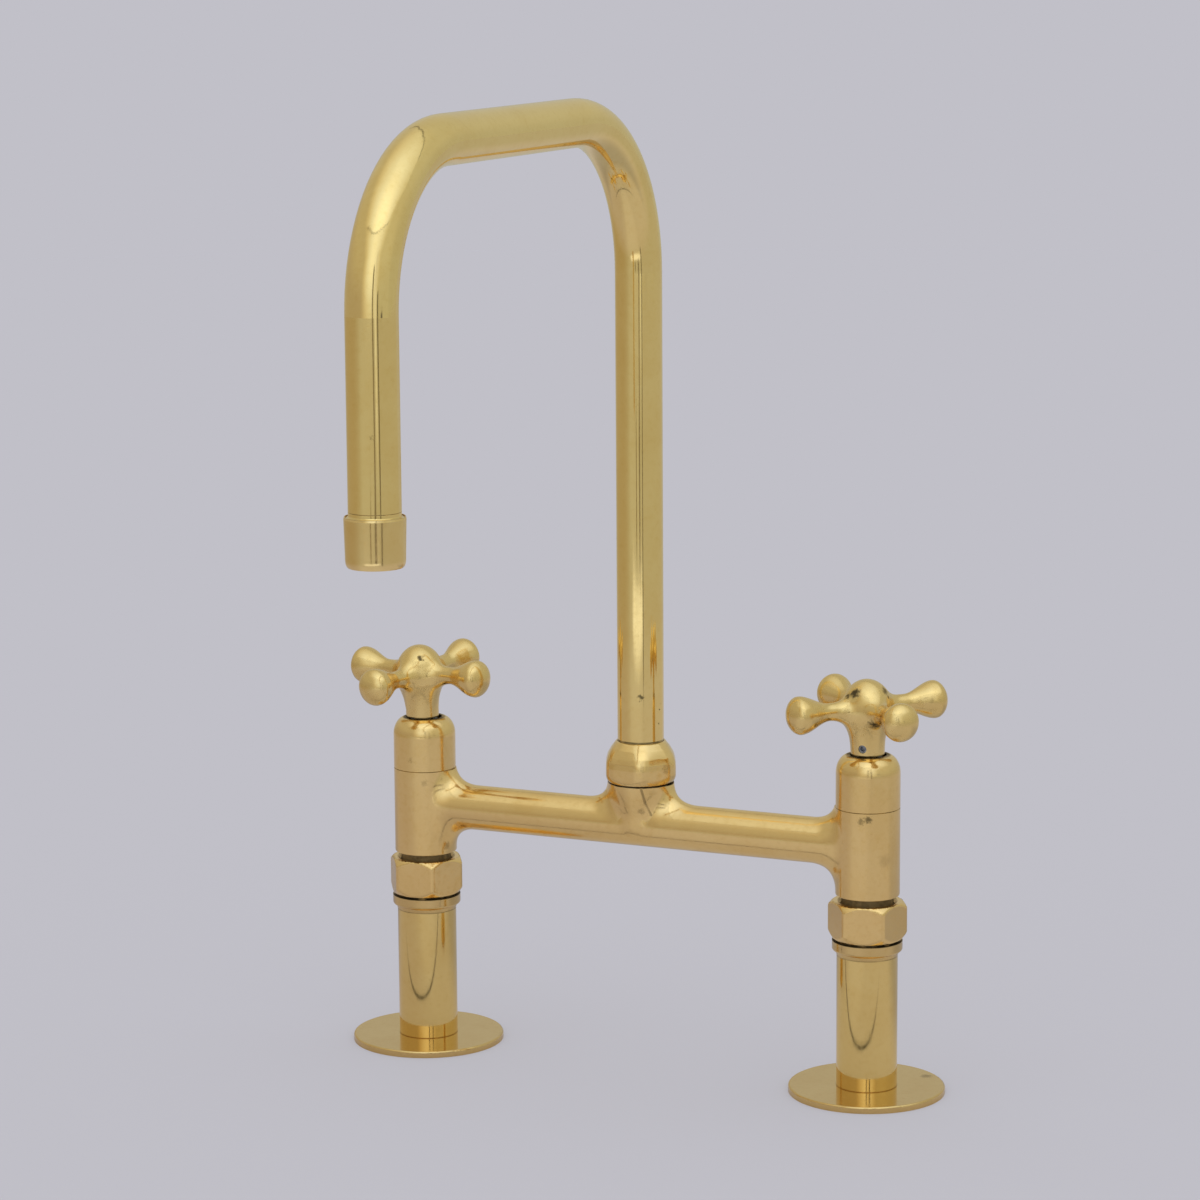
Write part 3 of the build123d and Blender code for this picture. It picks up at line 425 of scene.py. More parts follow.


# --------------------------------------------------------------------------------------
# Materials
# --------------------------------------------------------------------------------------

# Near-black of dirt and stains, also used for painted shade and painted reflection lines.
GRIME_AND_SHADE = (0.035, 0.028, 0.018)
GRIME_AND_SHADE_ROUGHNESS = 0.45                  # added where the dirt and painted shade are thick
SIDE_X = 0.05                           # the valves and legs lie beyond this, the boss within
OUTLET_Y = -0.1                         # the outlet lies in front of this
# Dark seams between parts, where dirt lies and shade is painted in.
SIDE_BANDS = (                          # height, half width and strength of dirt and painted shade
    (0.0586, 0.0003, 0.45), (0.0654, 0.0008, 1.0),
    (0.1210, 0.00022, 0.55), (0.1434, 0.0007, 0.9),
)
# The same under and over the riser nut, and in the crevice at the outlet.
MIDDLE_BANDS = ((0.1233, 0.0006, 0.95), (0.1413, 0.0005, 0.75))
OUTLET_BANDS = ((0.2723, 0.00022, 0.40), (0.2706, 0.0003, 0.20))
# Open ring over a union nut, dark with patina and painted shade (foot, top, radius, strength), and
# ring at a leg's foot, a painted contact shade (top, radii, strength)
RECESS = (0.0800, 0.0843, 0.0128, 0.45)
FOOT_RING = (0.0032, 0.01265, 0.01345, 0.15)
MARKS = (                               # place, radius and strength of casting pits and stains
    ((0.0090, -0.0020, 0.1570), 0.0006, 0.9), ((0.0092, -0.0020, 0.1552), 0.0005, 0.8),
    ((0.0092, -0.0022, 0.1490), 0.0005, 0.8), ((0.0040, -0.0090, 0.1610), 0.0013, 0.8),
    ((0.0046, -0.0101, 0.1125), 0.0016, 0.30), ((0.0140, -0.0055, 0.1305), 0.0022, 0.25),
    ((-0.1020, -0.0133, 0.1262), 0.0013, 0.20), ((-0.0960, -0.0120, 0.1165), 0.0013, 0.25),
    ((0.1062, -0.0125, 0.1185), 0.0016, 0.7), ((0.1035, -0.0131, 0.1178), 0.0015, 0.5),
    ((0.1120, -0.0080, 0.1010), 0.0030, 0.15), ((0.0990, -0.0090, 0.1700), 0.0024, 0.9),
    ((0.0958, -0.0092, 0.1688), 0.0017, 0.8), ((0.1080, -0.0098, 0.1588), 0.0027, 0.9),
    ((0.1085, -0.0015, 0.1700), 0.0020, 0.7), ((-0.0985, -0.0088, 0.1702), 0.0014, 0.8),
    ((-0.0890, -0.0050, 0.0880), 0.0020, 0.30), ((0.1210, 0.0200, 0.0030), 0.0025, 0.4),
    ((-0.0895, -0.0040, 0.1500), 0.0010, 0.5), ((0.0040, -0.2480, 0.3000), 0.0008, 0.4),
    ((0.0975, -0.0100, 0.1640), 0.0009, 0.6),
)
MARK_BEND = 0.004                       # how far a mark's outline wanders
# The first two are a painted reflection of a dark edge in the boss's blend; the last lies on the
# right handle.
DARK_LINES = (                           # two ends, radius and strength of thin dark lines
    ((0.0055, -0.0124, 0.1224), (0.0064, -0.0105, 0.1164), 0.00055, 0.50),
    ((0.0064, -0.0105, 0.1164), (0.0084, -0.0089, 0.1111), 0.00050, 0.45),
    ((0.1100, -0.0012, 0.1682), (0.1145, -0.0014, 0.1655), 0.00050, 0.8),
)


def seam_grime_and_shade_mask(tree, place):
    """Dirt and painted shade in seams, the open rings over the union nuts and at the legs' feet."""
    axes = tree.axes(place)
    aside = tree.math("ABSOLUTE", axes[0])
    at_side = tree.math("GREATER_THAN", aside, SIDE_X)
    at_outlet = tree.math("LESS_THAN", axes[1], OUTLET_Y)
    in_middle = tree.math("SUBTRACT", tree.math("SUBTRACT", 1.0, at_side), at_outlet)
    mask = 0.0
    for bands, where in ((SIDE_BANDS, at_side), (MIDDLE_BANDS, in_middle),
                         (OUTLET_BANDS, at_outlet)):
        for height, half, strength in bands:
            away = tree.math("ABSOLUTE", tree.math("SUBTRACT", axes[2], height))
            band = tree.span(away, half * 0.5, half, strength, 0.0)
            mask = tree.math("MAXIMUM", mask, tree.product(band, where))
    from_axis = tree.math("SUBTRACT", aside, VALVE_X * MILLIMETRE)
    radius = tree.math("SQRT", tree.weighted(from_axis, from_axis, axes[1], axes[1]))
    # Painted shade, with dark patina, in the open ring over the union nut.
    foot, top, wide, strength = RECESS
    recess = tree.product(
        tree.span(axes[2], foot, foot + 0.0006, 0.0, strength),
        tree.span(axes[2], top - 0.0003, top, 1.0, 0.0),
        tree.span(radius, wide - 0.0008, wide, 1.0, 0.0))
    # Painted contact shade at the leg's foot.
    top, narrow, wide, strength = FOOT_RING
    ring = tree.product(
        tree.span(axes[2], top, top + 0.0002, strength, 0.0),
        tree.span(radius, narrow - 0.0003, narrow),
        tree.span(radius, narrow, wide, 1.0, 0.0))
    mask = tree.math("MAXIMUM", tree.math("MAXIMUM", mask, recess), ring)
    return tree.product(mask, tree.span(tree.noise(place, 260.0), 0.30, 0.60, 0.55, 1.0))


def grime_and_shade_mask(tree, place):
    """How dark each point is: dirt and painted shade in seams, a few pits and stains, thin dark
    lines.
    """
    mask = seam_grime_and_shade_mask(tree, place)
    wander = tree.noise(place, 700.0, 3.0, output="Color")
    wander = tree.scaled(tree.vector("SUBTRACT", wander, (0.5, 0.5, 0.5)), MARK_BEND)
    bent = tree.vector("ADD", place, wander)
    for spot, size, strength in MARKS:
        away = tree.measure("DISTANCE", bent, spot)
        dot = tree.span(away, size * 0.4, size * 1.3, strength, 0.0)
        mask = tree.math("MAXIMUM", mask, dot)
    # Thin dark lines; the first two are a painted reflection.
    for start, end, size, strength in DARK_LINES:
        away = tree.from_segment(place, start, end)
        line = tree.span(away, size * 0.5, size * 1.5, strength, 0.0)
        mask = tree.math("MAXIMUM", mask, line)
    return mask


LOW_Z, HIGH_Z = 0.060, 0.200            # between these the low colour fades into the high one
BLOTCH_SHADE = (0.95, 0.915, 0.84)      # shades of the uneven tarnish, broad and fine
SPECK_SHADE = (0.92, 0.88, 0.78)


def brass(name, low_colour, high_colour, roughness, grain_scale, grain_depth, wave_depth):
    """Unlacquered brass, browner low down; streaky, a little wavy, dirt and painted shade in seams.
    """
    material, tree = new_material(name)
    place = tree.add("ShaderNodeTexCoord").outputs["Object"]
    height = tree.axes(place)[2]
    clean = tree.mix(tree.span(height, LOW_Z, HIGH_Z), rgba(low_colour), rgba(high_colour))
    blotch = tree.noise(place, 45.0, 4.0, 0.6, 0.6)
    speck = tree.noise(place, 420.0, 3.0, 0.6)
    base = tree.mix(tree.span(blotch, 0.35, 0.72, 0.0, 0.75), clean, rgba(BLOTCH_SHADE), "MULTIPLY")
    base = tree.mix(tree.span(speck, 0.45, 0.80, 0.0, 0.55), base, rgba(SPECK_SHADE), "MULTIPLY")
    # Dirt, stains, painted shade and painted reflection lines darken the colour and roughen it.
    grime_and_shade = grime_and_shade_mask(tree, place)
    base = tree.mix(grime_and_shade, base, rgba(GRIME_AND_SHADE))
    grain = tree.noise(tree.add("ShaderNodeMapping", {0: place, 3: grain_scale}), 1.0, 3.0, 0.6)
    rough = tree.span(grain, 0.3, 0.7, roughness * 0.75, roughness * 1.3, smooth=False)
    rough = tree.math("MULTIPLY_ADD", tree.span(speck, 0.4, 0.8), roughness * 0.5, rough)
    rough = tree.math("MULTIPLY_ADD", grime_and_shade, GRIME_AND_SHADE_ROUGHNESS, rough)
    wave = tree.noise(place, 110.0)
    wavy = tree.add("ShaderNodeBump", {"Height": wave, "Strength": 1.0, "Distance": wave_depth})
    bump = tree.add("ShaderNodeBump", {"Height": grain, "Strength": 1.0, "Distance": grain_depth,
                                       "Normal": wavy})
    shader = tree.add("ShaderNodeBsdfPrincipled", {
        "Base Color": base, "Metallic": 1.0, "Roughness": rough, "Normal": bump,
    })
    tree.add("ShaderNodeOutputMaterial", {0: shader.outputs[0]})
    return material


def plain(name, colour, roughness, metallic=0.0):
    """Mottled rubber, plastic, fibre, ceramic or steel."""
    material, tree = new_material(name)
    place = tree.add("ShaderNodeTexCoord").outputs["Object"]
    mottle = tree.noise(place, 900.0)
    darker = tuple(channel * 0.7 for channel in colour)
    base = tree.mix(tree.span(mottle, 0.3, 0.7), rgba(colour), rgba(darker))
    bump = tree.add("ShaderNodeBump", {"Height": mottle, "Strength": 0.2, "Distance": 0.0001})
    shader = tree.add("ShaderNodeBsdfPrincipled", {
        "Base Color": base, "Metallic": metallic, "Roughness": roughness, "Normal": bump,
    })
    tree.add("ShaderNodeOutputMaterial", {0: shader.outputs[0]})
    return material


HANDLE_BRASS = brass("handle_brass", (0.850, 0.628, 0.262), (0.850, 0.628, 0.262), 0.19,
                     (420, 420, 420), 0.9e-6, 3.2e-5)
MATERIALS = {
    "drawn_brass": brass("drawn_brass", (0.860, 0.635, 0.250), (0.950, 0.725, 0.308), 0.075,
                         (900, 900, 60), 1.2e-6, 1.2e-5),
    "turned_brass": brass("turned_brass", (0.745, 0.535, 0.234), (0.885, 0.660, 0.298), 0.12,
                          (300, 300, 2500), 1.0e-6, 1.2e-5),
    "cast_brass": brass("cast_brass", (0.880, 0.625, 0.272), (0.885, 0.650, 0.280), 0.15,
                        (420, 420, 420), 2.0e-6, 3.0e-5),
    "machined_brass": brass("machined_brass", (0.45, 0.30, 0.10), (0.45, 0.30, 0.10), 0.35,
                            (500, 500, 2500), 3.0e-6, 1.0e-5),
    "black_rubber": plain("black_rubber", (0.02, 0.02, 0.02), 0.6),
    "nylon": plain("nylon", (0.75, 0.74, 0.68), 0.5),
    "grey_plastic": plain("grey_plastic", (0.35, 0.35, 0.33), 0.45),
    "red_fibre": plain("red_fibre", (0.25, 0.05, 0.03), 0.8),
    "ceramic": plain("ceramic", (0.8, 0.78, 0.73), 0.2),
    "tarnished_brass": brass("tarnished_brass", (0.42, 0.32, 0.17), (0.42, 0.32, 0.17), 0.42,
                             (500, 500, 500), 3.0e-6, 1.0e-5),
    "black_steel": plain("black_steel", (0.05, 0.05, 0.05), 0.4, 1.0),
    "spring_steel": plain("spring_steel", (0.30, 0.31, 0.34), 0.35, 1.0),
}


def dress_nodes():
    slots = {part["node"]: part["material_slot"] for part in frame["record"]["subparts"]}
    for name, node in nodes.items():
        for slot in node.material_slots:
            slot.material = MATERIALS[slots[name]]


# --------------------------------------------------------------------------------------
# Sculpted castings. Lengths in this section are millimetres until place_mesh().
#
# Each casting is a signed field: negative inside, zero on the skin. A rough closed blank is
# remeshed, its vertices are moved onto the zero level, and the bores are cut afterwards.
# --------------------------------------------------------------------------------------

FIELD_STEP = 0.08                       # step of the field's finite differences
TABLE_STEP = 0.1                        # spacing of a turned outline's table
WELD = 0.003                            # vertices closer than this become one after a cut
SKIN = 0.03                             # points this near to the zero level are shaded by it


def smooth_min(a, b, reach):
    """Union of two fields with a blend; the blend's radius is about 0.85 of its reach."""
    overlap = np.maximum(reach - np.abs(a - b), 0.0)
    return np.minimum(a, b) - overlap ** 2 / (4 * np.maximum(reach, 1e-6))


def smooth_max(a, b, reach):
    return -smooth_min(-a, -b, reach)


class Turned:
    """Distance to an outline of (along, radius) points turned about an axis, kept as a table."""

    def __init__(self, outline, margin=14.0):
        outline = np.asarray(outline, dtype=float)
        self.low = outline[:, 0].min() - margin
        along = np.arange(self.low, outline[:, 0].max() + margin, TABLE_STEP)
        radius = np.arange(0.0, outline[:, 1].max() + margin, TABLE_STEP)
        grid_along, grid_radius = np.meshgrid(along, radius, indexing="ij")
        nearest = np.full(grid_along.shape, np.inf)
        for (s, r), (step_s, step_r) in zip(outline[:-1], np.diff(outline, axis=0)):
            length = step_s ** 2 + step_r ** 2
            if length == 0:
                continue
            dot = (grid_along - s) * step_s + (grid_radius - r) * step_r
            share = np.clip(dot / length, 0, 1)
            nearest = np.minimum(nearest, (grid_along - s - share * step_s) ** 2
                                 + (grid_radius - r - share * step_r) ** 2)
        rim = np.interp(along, outline[:, 0], outline[:, 1], left=-1.0, right=-1.0)
        self.table = np.where(grid_radius < rim[:, None], -1.0, 1.0) * np.sqrt(nearest)

    def at(self, along, radius):
        rows, columns = self.table.shape
        u = np.clip((along - self.low) / TABLE_STEP, 0, rows - 1.001)
        v = np.clip(radius / TABLE_STEP, 0, columns - 1.001)
        i, j = u.astype(int), v.astype(int)
        u, v = u - i, v - j
        table = self.table
        return ((table[i, j] * (1 - u) + table[i + 1, j] * u) * (1 - v)
                + (table[i, j + 1] * (1 - u) + table[i + 1, j + 1] * u) * v)


def ease(start, start_slope, end, end_slope, count):
    """Points of a smooth curve between two (along, radius) points with given slopes."""
    t = np.linspace(0, 1, count)
    span = end[0] - start[0]
    radius = ((2 * t ** 3 - 3 * t ** 2 + 1) * start[1]
              + (t ** 3 - 2 * t ** 2 + t) * span * start_slope
              + (3 * t ** 2 - 2 * t ** 3) * end[1]
              + (t ** 3 - t ** 2) * span * end_slope)
    return np.stack([start[0] + t * span, radius], axis=-1)


def gradient(field, points):
    axes = np.eye(3) * FIELD_STEP
    slope = np.stack([field(points + axis) - field(points - axis) for axis in axes], axis=-1)
    return slope / (2 * FIELD_STEP)


def post(shape, radius, depth, place=(0, 0, 0), axis="Z", top=None):
    """Adds a closed cylinder, or a cone with its own top radius, to a blank."""
    turn = {"Z": Matrix.Identity(4), "X": Matrix.Rotation(math.pi / 2, 4, "Y"),
            "Y": Matrix.Rotation(math.pi / 2, 4, "X")}[axis]
    bmesh.ops.create_cone(shape, cap_ends=True, segments=48, depth=depth, radius1=radius,
                          radius2=top or radius, matrix=Matrix.Translation(place) @ turn)


def ball(shape, radius, place):
    bmesh.ops.create_icosphere(shape, subdivisions=3, radius=radius,
                               matrix=Matrix.Translation(place))


def evaluated(mesh, *modifiers):
    """A new mesh with modifiers applied; each is (kind, settings)."""
    host = linked("blank", mesh)
    for kind, settings in modifiers:
        modifier = host.modifiers.new(kind, kind)
        for name, value in settings.items():
            setattr(modifier, name, value)
    graph = bpy.context.evaluated_depsgraph_get()
    result = bpy.data.meshes.new_from_object(host.evaluated_get(graph))
    bpy.data.objects.remove(host)
    return result


def coordinates(mesh):
    flat = np.empty(len(mesh.vertices) * 3)
    mesh.vertices.foreach_get("co", flat)
    return flat.reshape(-1, 3)


def sculpted(shape, field, voxel):
    """Turns a blank into a mesh of even quads that lies on the field's zero level."""
    blank = mesh_of(shape, "blank")
    mesh = evaluated(blank, ("REMESH", {"mode": "VOXEL", "voxel_size": voxel}))
    for relax in (3, 2, 0, 0):
        points = coordinates(mesh)
        for _ in range(3):
            slope = gradient(field, points)
            move = field(points) / np.maximum((slope ** 2).sum(-1), 0.05)
            points = points - np.clip(move, -1.5, 1.5)[:, None] * slope
        mesh.vertices.foreach_set("co", points.ravel())
        work = bmesh.new()
        work.from_mesh(mesh)
        for _ in range(relax):
            bmesh.ops.smooth_vert(work, verts=work.verts, factor=0.5, use_axis_x=True,
                                  use_axis_y=True, use_axis_z=True)
        work.to_mesh(mesh)
        work.free()
    return mesh


def cutter(outline, place=(0, 0, 0), turn=None, segments=64):
    """A closed ring or plug turned about Z from (radius, height) points, to cut with."""
    shape = bmesh.new()
    rings = []
    for index in range(segments):
        angle = 2 * math.pi * index / segments
        across, along = math.cos(angle), math.sin(angle)
        rings.append([shape.verts.new((radius * across, radius * along, height))
                      for radius, height in outline])
    count = len(outline)
    for index in range(segments):
        near, far = rings[index], rings[(index + 1) % segments]
        for point in range(count):
            after = (point + 1) % count
            shape.faces.new((near[point], far[point], far[after], near[after]))
    bmesh.ops.remove_doubles(shape, verts=shape.verts, dist=1e-5)
    bmesh.ops.recalc_face_normals(shape, faces=shape.faces)
    tool = linked("cutter", mesh_of(shape, "cutter"))
    tool.matrix_world = Matrix.Translation(place) @ (turn or Matrix.Identity(4))
    return tool


def bore(radius, foot, top, *where):
    """A plain round plug to cut with."""
    return cutter([(0, foot), (radius, foot), (radius, top), (0, top)], *where)


def cut(mesh, tools):
    """Takes the tools out of a mesh and leaves it closed, with no cracks or many-sided faces."""
    bpy.context.view_layer.update()
    result = evaluated(mesh, *(
        ("BOOLEAN", {"operation": "DIFFERENCE", "solver": "EXACT", "object": tool})
        for tool in tools))
    for tool in tools:
        bpy.data.objects.remove(tool)
    work = bmesh.new()
    work.from_mesh(result)
    bmesh.ops.remove_doubles(work, verts=work.verts, dist=WELD)
    bmesh.ops.dissolve_degenerate(work, dist=WELD, edges=work.edges)
    bmesh.ops.triangulate(work, faces=[face for face in work.faces if len(face.verts) > 4])
    bmesh.ops.holes_fill(work, edges=[edge for edge in work.edges if edge.is_boundary], sides=4)
    work.to_mesh(result)
    work.free()
    return result


def place_mesh(name, mesh, field, body, node, matrix=None, material=None):
    """Shades a casting from its field, moves it into the model's frame and hands it over."""
    points = coordinates(mesh)
    slope = gradient(field, points)
    slope /= np.maximum(np.linalg.norm(slope, axis=-1, keepdims=True), 1e-6)
    on_skin = np.abs(field(points)) < SKIN
    faces = np.empty(len(mesh.polygons) * 3)
    mesh.polygons.foreach_get("normal", faces)
    faces = faces.reshape(-1, 3)
    corner = np.empty(len(mesh.loops), dtype=np.int32)
    mesh.loops.foreach_get("vertex_index", corner)
    sizes = np.empty(len(mesh.polygons), dtype=np.int32)
    mesh.polygons.foreach_get("loop_total", sizes)
    owner = np.repeat(np.arange(len(sizes)), sizes)
    follows = on_skin[corner] & ((slope[corner] * faces[owner]).sum(-1) > 0.7)
    normals = np.where(follows[:, None], slope[corner], faces[owner])
    mesh.shade_smooth()
    mesh.normals_split_custom_set(normals.tolist())
    mesh.transform(Matrix.Scale(MILLIMETRE, 4) @ (matrix or Matrix.Identity(4)))
    mesh.materials.clear()
    mesh.materials.append(material or MATERIALS["cast_brass"])
    piece = linked(name, mesh)
    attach(piece, body)
    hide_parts(node)


# Cross handles. Z from the neck's lower edge, arms along X and Y.

DOME_RADIUS = 9.0
HANDLE_HEIGHT = 31.2
DOME_Z = HANDLE_HEIGHT - DOME_RADIUS
HUB_FOOT = (-4.0, 7.0)                  # height and radius of the neck's end, cut off later
HUB_WAIST = (2.6, 7.1)
ARM_HEIGHT = 19.4
ARM_ROOT = 4.6                          # radius at the hub's axis
ARM_WAIST = (17.3, 3.65)                # place along the arm and radius of its thinnest point
ARM_END = (30.6, 7.9)                   # the same of its thickest point
ARM_CAP = 5.3                           # length of the rounded end beyond that
ARM_ROUNDNESS = 1.85                    # exponent of that end; 2 is an ellipse
ARM_SQUEEZE = 0.97                      # width of an arm as a share of its height
ARM_BLEND = 5.0                         # reach of the blends between arms
BLEND_BELOW = 9.4                       # reach of the blends under the arms, and over them
BLEND_ABOVE = 5.6
BLEND_TURNS = 4.0                       # height over and under the arm where one becomes the other
LEAN_DEPTH = 15.0                       # the castings lean about a point this far below
SPINDLE_BORE = (4.1, 15.2)              # radius and depth
SCREW_HOLE = (1.75, 3.1)                # radius and height
HANDLES = (                             # side, sign of X, way of the screw, lean, way of the lean
    ("left", -1, -147.4, 3.6, 39.3),
    ("right", 1, -88.4, 2.1, -9.2),
)
ARMS_FROM_SCREW = math.radians(45)


def quarter(count):
    """Angles of a quarter turn, without the first."""
    return np.linspace(0, math.pi / 2, count)[1:]


def hub_outline():
    neck = ease(HUB_FOOT, 0.0, HUB_WAIST, 0.05, 12)
    sides = ease(HUB_WAIST, 0.05, (DOME_Z, DOME_RADIUS), 0.0, 60)[1:]
    angles = quarter(60)
    dome = np.stack([DOME_Z + DOME_RADIUS * np.sin(angles), DOME_RADIUS * np.cos(angles)], axis=-1)
    return np.concatenate([[(HUB_FOOT[0], 0.0)], neck, sides, dome])


def arm_outline():
    neck = ease((0.0, ARM_ROOT), -0.06, ARM_WAIST, 0.0, 40)
    flare = ease(ARM_WAIST, 0.0, ARM_END, 0.0, 60)[1:]
    angles = quarter(70)
    power = 2 / ARM_ROUNDNESS
    cap = np.stack([ARM_END[0] + ARM_CAP * np.sin(angles) ** power,
                    ARM_END[1] * np.maximum(np.cos(angles), 0.0) ** power], axis=-1)
    return np.concatenate([neck, flare, cap])


def make_handle_field():
    hub, arm = Turned(hub_outline()), Turned(arm_outline())

    def field(points):
        x, y, z = points.T
        rise = z - ARM_HEIGHT
        along_x = arm.at(np.abs(x), np.hypot(y / ARM_SQUEEZE, rise))
        along_y = arm.at(np.abs(y), np.hypot(x / ARM_SQUEEZE, rise))
        arms = smooth_min(along_x, along_y, ARM_BLEND)
        over = np.clip((rise + BLEND_TURNS) / (2 * BLEND_TURNS), 0, 1)
        reach = BLEND_BELOW + (BLEND_ABOVE - BLEND_BELOW) * over
        return smooth_min(hub.at(z, np.hypot(x, y)), arms, reach)

    return field


def handle_mesh(field):
    shape = bmesh.new()
    post(shape, 7.5, 27, (0, 0, 9.5))
    ball(shape, DOME_RADIUS, (0, 0, DOME_Z))
    for axis, (x, y) in (("X", (1, 0)), ("Y", (0, 1))):
        post(shape, 4.5, 50, (0, 0, ARM_HEIGHT), axis)
        for reach in (-29, 29):
            ball(shape, 7.2, (reach * x, reach * y, ARM_HEIGHT))
    return sculpted(shape, field, 0.7)


def leaning(lean, side):
    """A lean by some degrees towards a side, after the arms are turned off the screw."""
    axis = math.radians(side)
    tilt = Matrix.Rotation(axis, 4, "Z") @ Matrix.Rotation(math.radians(lean), 4, "Y") \
        @ Matrix.Rotation(-axis, 4, "Z")
    return Matrix.Translation((0, 0, -LEAN_DEPTH)) @ tilt @ Matrix.Translation((0, 0, LEAN_DEPTH)) \
        @ Matrix.Rotation(ARMS_FROM_SCREW, 4, "Z")


def make_handles():
    upright_field = make_handle_field()
    blank = handle_mesh(upright_field)
    foot_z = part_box("left_cross_handle")[0][2] / MILLIMETRE
    for side, sign, screw_angle, lean, lean_side in HANDLES:
        pose = leaning(lean, lean_side)
        leaned = blank.copy()
        leaned.transform(pose)
        back = np.array(pose.inverted())

        def field(points, back=back):
            return upright_field(points @ back[:3, :3].T + back[:3, 3])

        leaned = cut(leaned, [
            bore(30, -20, 0),
            bore(SPINDLE_BORE[0], -5, SPINDLE_BORE[1]),
            bore(SCREW_HOLE[0], 2, 14, (0, 0, SCREW_HOLE[1]),
                 Matrix.Rotation(math.pi / 2, 4, "Y"), 32),
        ])
        matrix = Matrix.Translation((sign * VALVE_X, 0, foot_z)) \
            @ Matrix.Rotation(math.radians(screw_angle), 4, "Z")
        place_mesh(f"{side}_handle_casting", leaned, field, f"{side}_handle",
                   f"{side}_cross_handle", matrix, HANDLE_BRASS)


# Bridge casting. Z above the deck, as in the model.

BODY_RADIUS = 13.3
BODY_FOOT_Z = 84.1
BODY_TOP_Z = 121.0
BODY_SPARE = 3.0                        # added to both ends of a valve body, cut off later
BODY_BORE = (10.2, 96.8, 130)           # radius, foot and top: headwork's room and waterway
BODY_WATERWAY = (6.4, 80, 97)
TUBE_RADIUS = 9.55
TUBE_BORE = 7.4
BRIDGE_Z = 104.9                        # the tube's axis
BOSS_FOOT = ((-9.4, 0.0), (-8.5, 4.5), (-5.0, 8.0), (0.0, 9.3))   # height off the axis, radius
BOSS_WAIST = (8.4, 11.3)
BOSS_RADIUS = 13.7
BOSS_SPARE = 8.0                        # height over the ledge that is turned down to the thread
BOSS_BORE = (8.65, 106, 140)
LEDGE_Z = 123.1
THREAD_RADIUS = 11.5
VALVE_BLEND = 11.8
BOSS_BLEND = 14.0
LEAST_BLEND = 0.2                       # share of the boss's blend that is kept all round
WIDE = 24.0                             # wider than any part of the casting that is cut


def blend_of(first, second):
    """Share of a blend that two turned faces need: none where they face the same way."""
    return 1 - np.clip((first * second).sum(-1), 0, 1)


def facing(across, up):
    length = np.maximum(np.hypot(across, up), 1e-6)
    return across / length, up / length


def boss_outline():
    waist = (BRIDGE_Z + BOSS_WAIST[0], BOSS_WAIST[1])
    foot = [(BRIDGE_Z + rise, radius) for rise, radius in BOSS_FOOT]
    return np.concatenate([
        foot[:-1],
        ease(foot[-1], 0.02, waist, 0.30, 24),
        ease(waist, 0.30, (LEDGE_Z, BOSS_RADIUS), 0.08, 24)[1:],
        [(LEDGE_Z + BOSS_SPARE, BOSS_RADIUS), (LEDGE_Z + BOSS_SPARE, 0.0)],
    ])


def make_bridge_field():
    boss = Turned(boss_outline())

    def field(points):
        x, y, z = points.T
        level = 0 * x
        tube = np.hypot(y, z - BRIDGE_Z) - TUBE_RADIUS
        tube = np.maximum(tube, np.abs(x) - VALVE_X)
        tube_y, tube_z = facing(y, z - BRIDGE_Z)
        tube_way = np.stack([level, tube_y, tube_z], axis=-1)
        from_valve = np.abs(x) - VALVE_X
        body = np.hypot(from_valve, y) - BODY_RADIUS
        body = np.maximum(body, np.maximum(z - (BODY_TOP_Z + BODY_SPARE),
                                           BODY_FOOT_Z - BODY_SPARE - z))
        body_way = np.stack([*facing(from_valve, y), level], axis=-1)
        skin = smooth_min(tube, body, VALVE_BLEND * blend_of(tube_way, body_way))
        boss_way = np.stack([*facing(x, y), level], axis=-1)
        share = np.maximum(blend_of(tube_way, boss_way), LEAST_BLEND)
        share = share * np.clip((z - BRIDGE_Z + 6) / 6, 0, 1)
        return smooth_min(skin, boss.at(z, np.hypot(x, y)), BOSS_BLEND * share)

    return field


def make_bridge():
    field = make_bridge_field()
    shape = bmesh.new()
    post(shape, TUBE_RADIUS, 2 * VALVE_X, (0, 0, BRIDGE_Z), "X")
    post(shape, 9.4, LEDGE_Z + BOSS_SPARE - BRIDGE_Z,
         (0, 0, (BRIDGE_Z + LEDGE_Z + BOSS_SPARE) / 2), top=BOSS_RADIUS)
    for x in (-VALVE_X, VALVE_X):
        post(shape, BODY_RADIUS, BODY_TOP_Z - BODY_FOOT_Z + 2 * BODY_SPARE,
             (x, 0, (BODY_TOP_Z + BODY_FOOT_Z) / 2))
    mesh = sculpted(shape, field, 0.8)
    foot, top, edge = BODY_FOOT_Z, BODY_TOP_Z, BODY_RADIUS + 0.05
    tools = []
    for x in (-VALVE_X, VALVE_X):
        at = (x, 0, 0)
        tools.append(cutter([(0, foot - 9), (WIDE, foot - 9), (WIDE, foot + 0.65),
                             (edge, foot + 0.65), (edge - 0.22, foot + 0.2),
                             (edge - 0.65, foot), (0, foot)], at))
        tools.append(cutter([(0, top + 9), (WIDE, top + 9), (WIDE, top - 0.15),
                             (edge, top - 0.15), (edge - 0.2, top), (0, top)], at))
        tools.append(bore(*BODY_BORE, at))
        tools.append(bore(*BODY_WATERWAY, at))
    tools.append(cutter([(THREAD_RADIUS, LEDGE_Z), (WIDE, LEDGE_Z), (WIDE, 140),
                         (THREAD_RADIUS, 140)]))
    tools.append(bore(*BOSS_BORE))
    tools.append(bore(TUBE_BORE, -VALVE_X, VALVE_X, (0, 0, BRIDGE_Z),
                      Matrix.Rotation(math.pi / 2, 4, "Y")))
    place_mesh("bridge_casting", cut(mesh, tools), field, "base", "bridge_body")


# Hexagon nuts


def hexagon_field(x, y, across_flats, corner_angle, softness):
    """Six flats that meet in rounded corners, one of them in the given direction."""
    flats = None
    for index in range(6):
        angle = math.radians(corner_angle + 30 + 60 * index)
        flat = x * math.cos(angle) + y * math.sin(angle) - across_flats / 2
        flats = flat if flats is None else smooth_max(flats, flat, softness)
    return flats


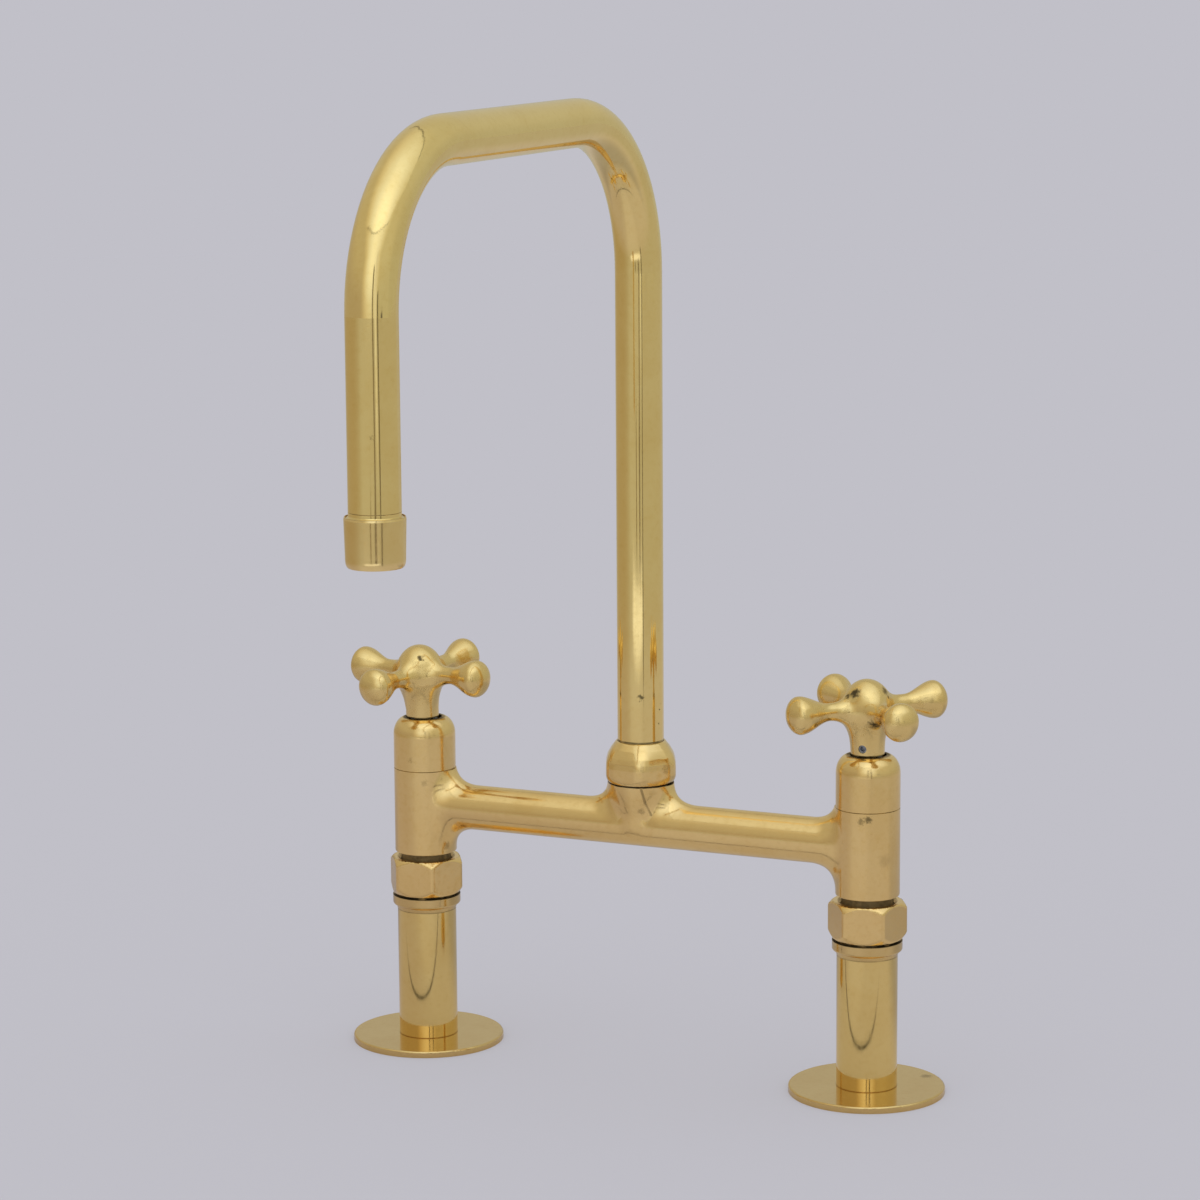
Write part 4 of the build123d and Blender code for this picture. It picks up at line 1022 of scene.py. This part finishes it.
def make_nut(name, node, x_axis, outline, widths, corner_angle, softness, edge, tool):
    """A hexagon within a turned outline; its width across flats is given at rising heights."""
    envelope = Turned(outline)
    heights, across_flats = np.transpose(widths)

    def field(points):
        x, y, z = points.T
        x = x - x_axis
        prism = hexagon_field(x, y, np.interp(z, heights, across_flats), corner_angle, softness)
        return smooth_max(prism, envelope.at(z, np.hypot(x, y)), edge)

    low, high = outline[0][0], outline[-1][0]
    shape = bmesh.new()
    post(shape, across_flats[0] / 2, high - low - 0.5, (x_axis, 0, (low + high) / 2))
    place_mesh(name, cut(sculpted(shape, field, 0.6), [tool]), field, "base", node)


def make_riser_nut():
    """Its flats lean inward and melt into a dome."""
    foot, dome_foot, top, corner, collar = 123.4, 130.0, 141.0, 16.97, 10.6
    half = math.pi / 2
    dome = [(dome_foot + 11.0 * (a / half), corner - 6.37 * (1 - math.cos(a * 0.98)) ** 0.9)
            for a in np.linspace(0, half, 24)]
    dome[-1] = (top, collar)
    outline = [(foot, 0), (foot, 13.7), (foot + 3.2, corner)] + dome + [(top, 0)]
    widths = [(dome_foot, 29.4), (132.5, 29.1), (135.0, 27.9), (138.0, 25.0), (top, 20.6)]
    tool = cutter([(0, 120), (11.6, 120), (11.6, 134.9), (9.87, 134.9), (9.87, 150), (0, 150)])
    make_nut("riser_nut_casting", "riser_nut", 0, outline, widths, 53.5, 3.4, 1.6, tool)


def make_union_nuts():
    foot, top, corner, flats = 65.7, 81.5, 16.74, 29.0
    outline = [(foot, 0), (foot, 14.25), (foot + 3.2, corner), (top - 2.2, corner), (top, 14.5),
               (top, 0)]
    inside = [(0, 60), (12.8, 60), (12.8, 78.1), (11.2, 78.1), (11.2, 80.2), (12.9, 81.9),
              (12.9, 90), (0, 90)]
    for side, x_axis, turn in (("left", -VALVE_X, 5.5), ("right", VALVE_X, 13.4)):
        make_nut(f"{side}_union_nut_casting", f"{side}_union_nut", x_axis, outline,
                 [(foot, flats)], turn, 0.9, 0.5, cutter(inside, (x_axis, 0, 0)))


make_camera()
make_world()
make_floor()
make_cards()
dress_nodes()
make_bridge()
make_riser_nut()
make_union_nuts()
make_handles()

bpy.context.scene.view_settings.view_transform = "Standard"
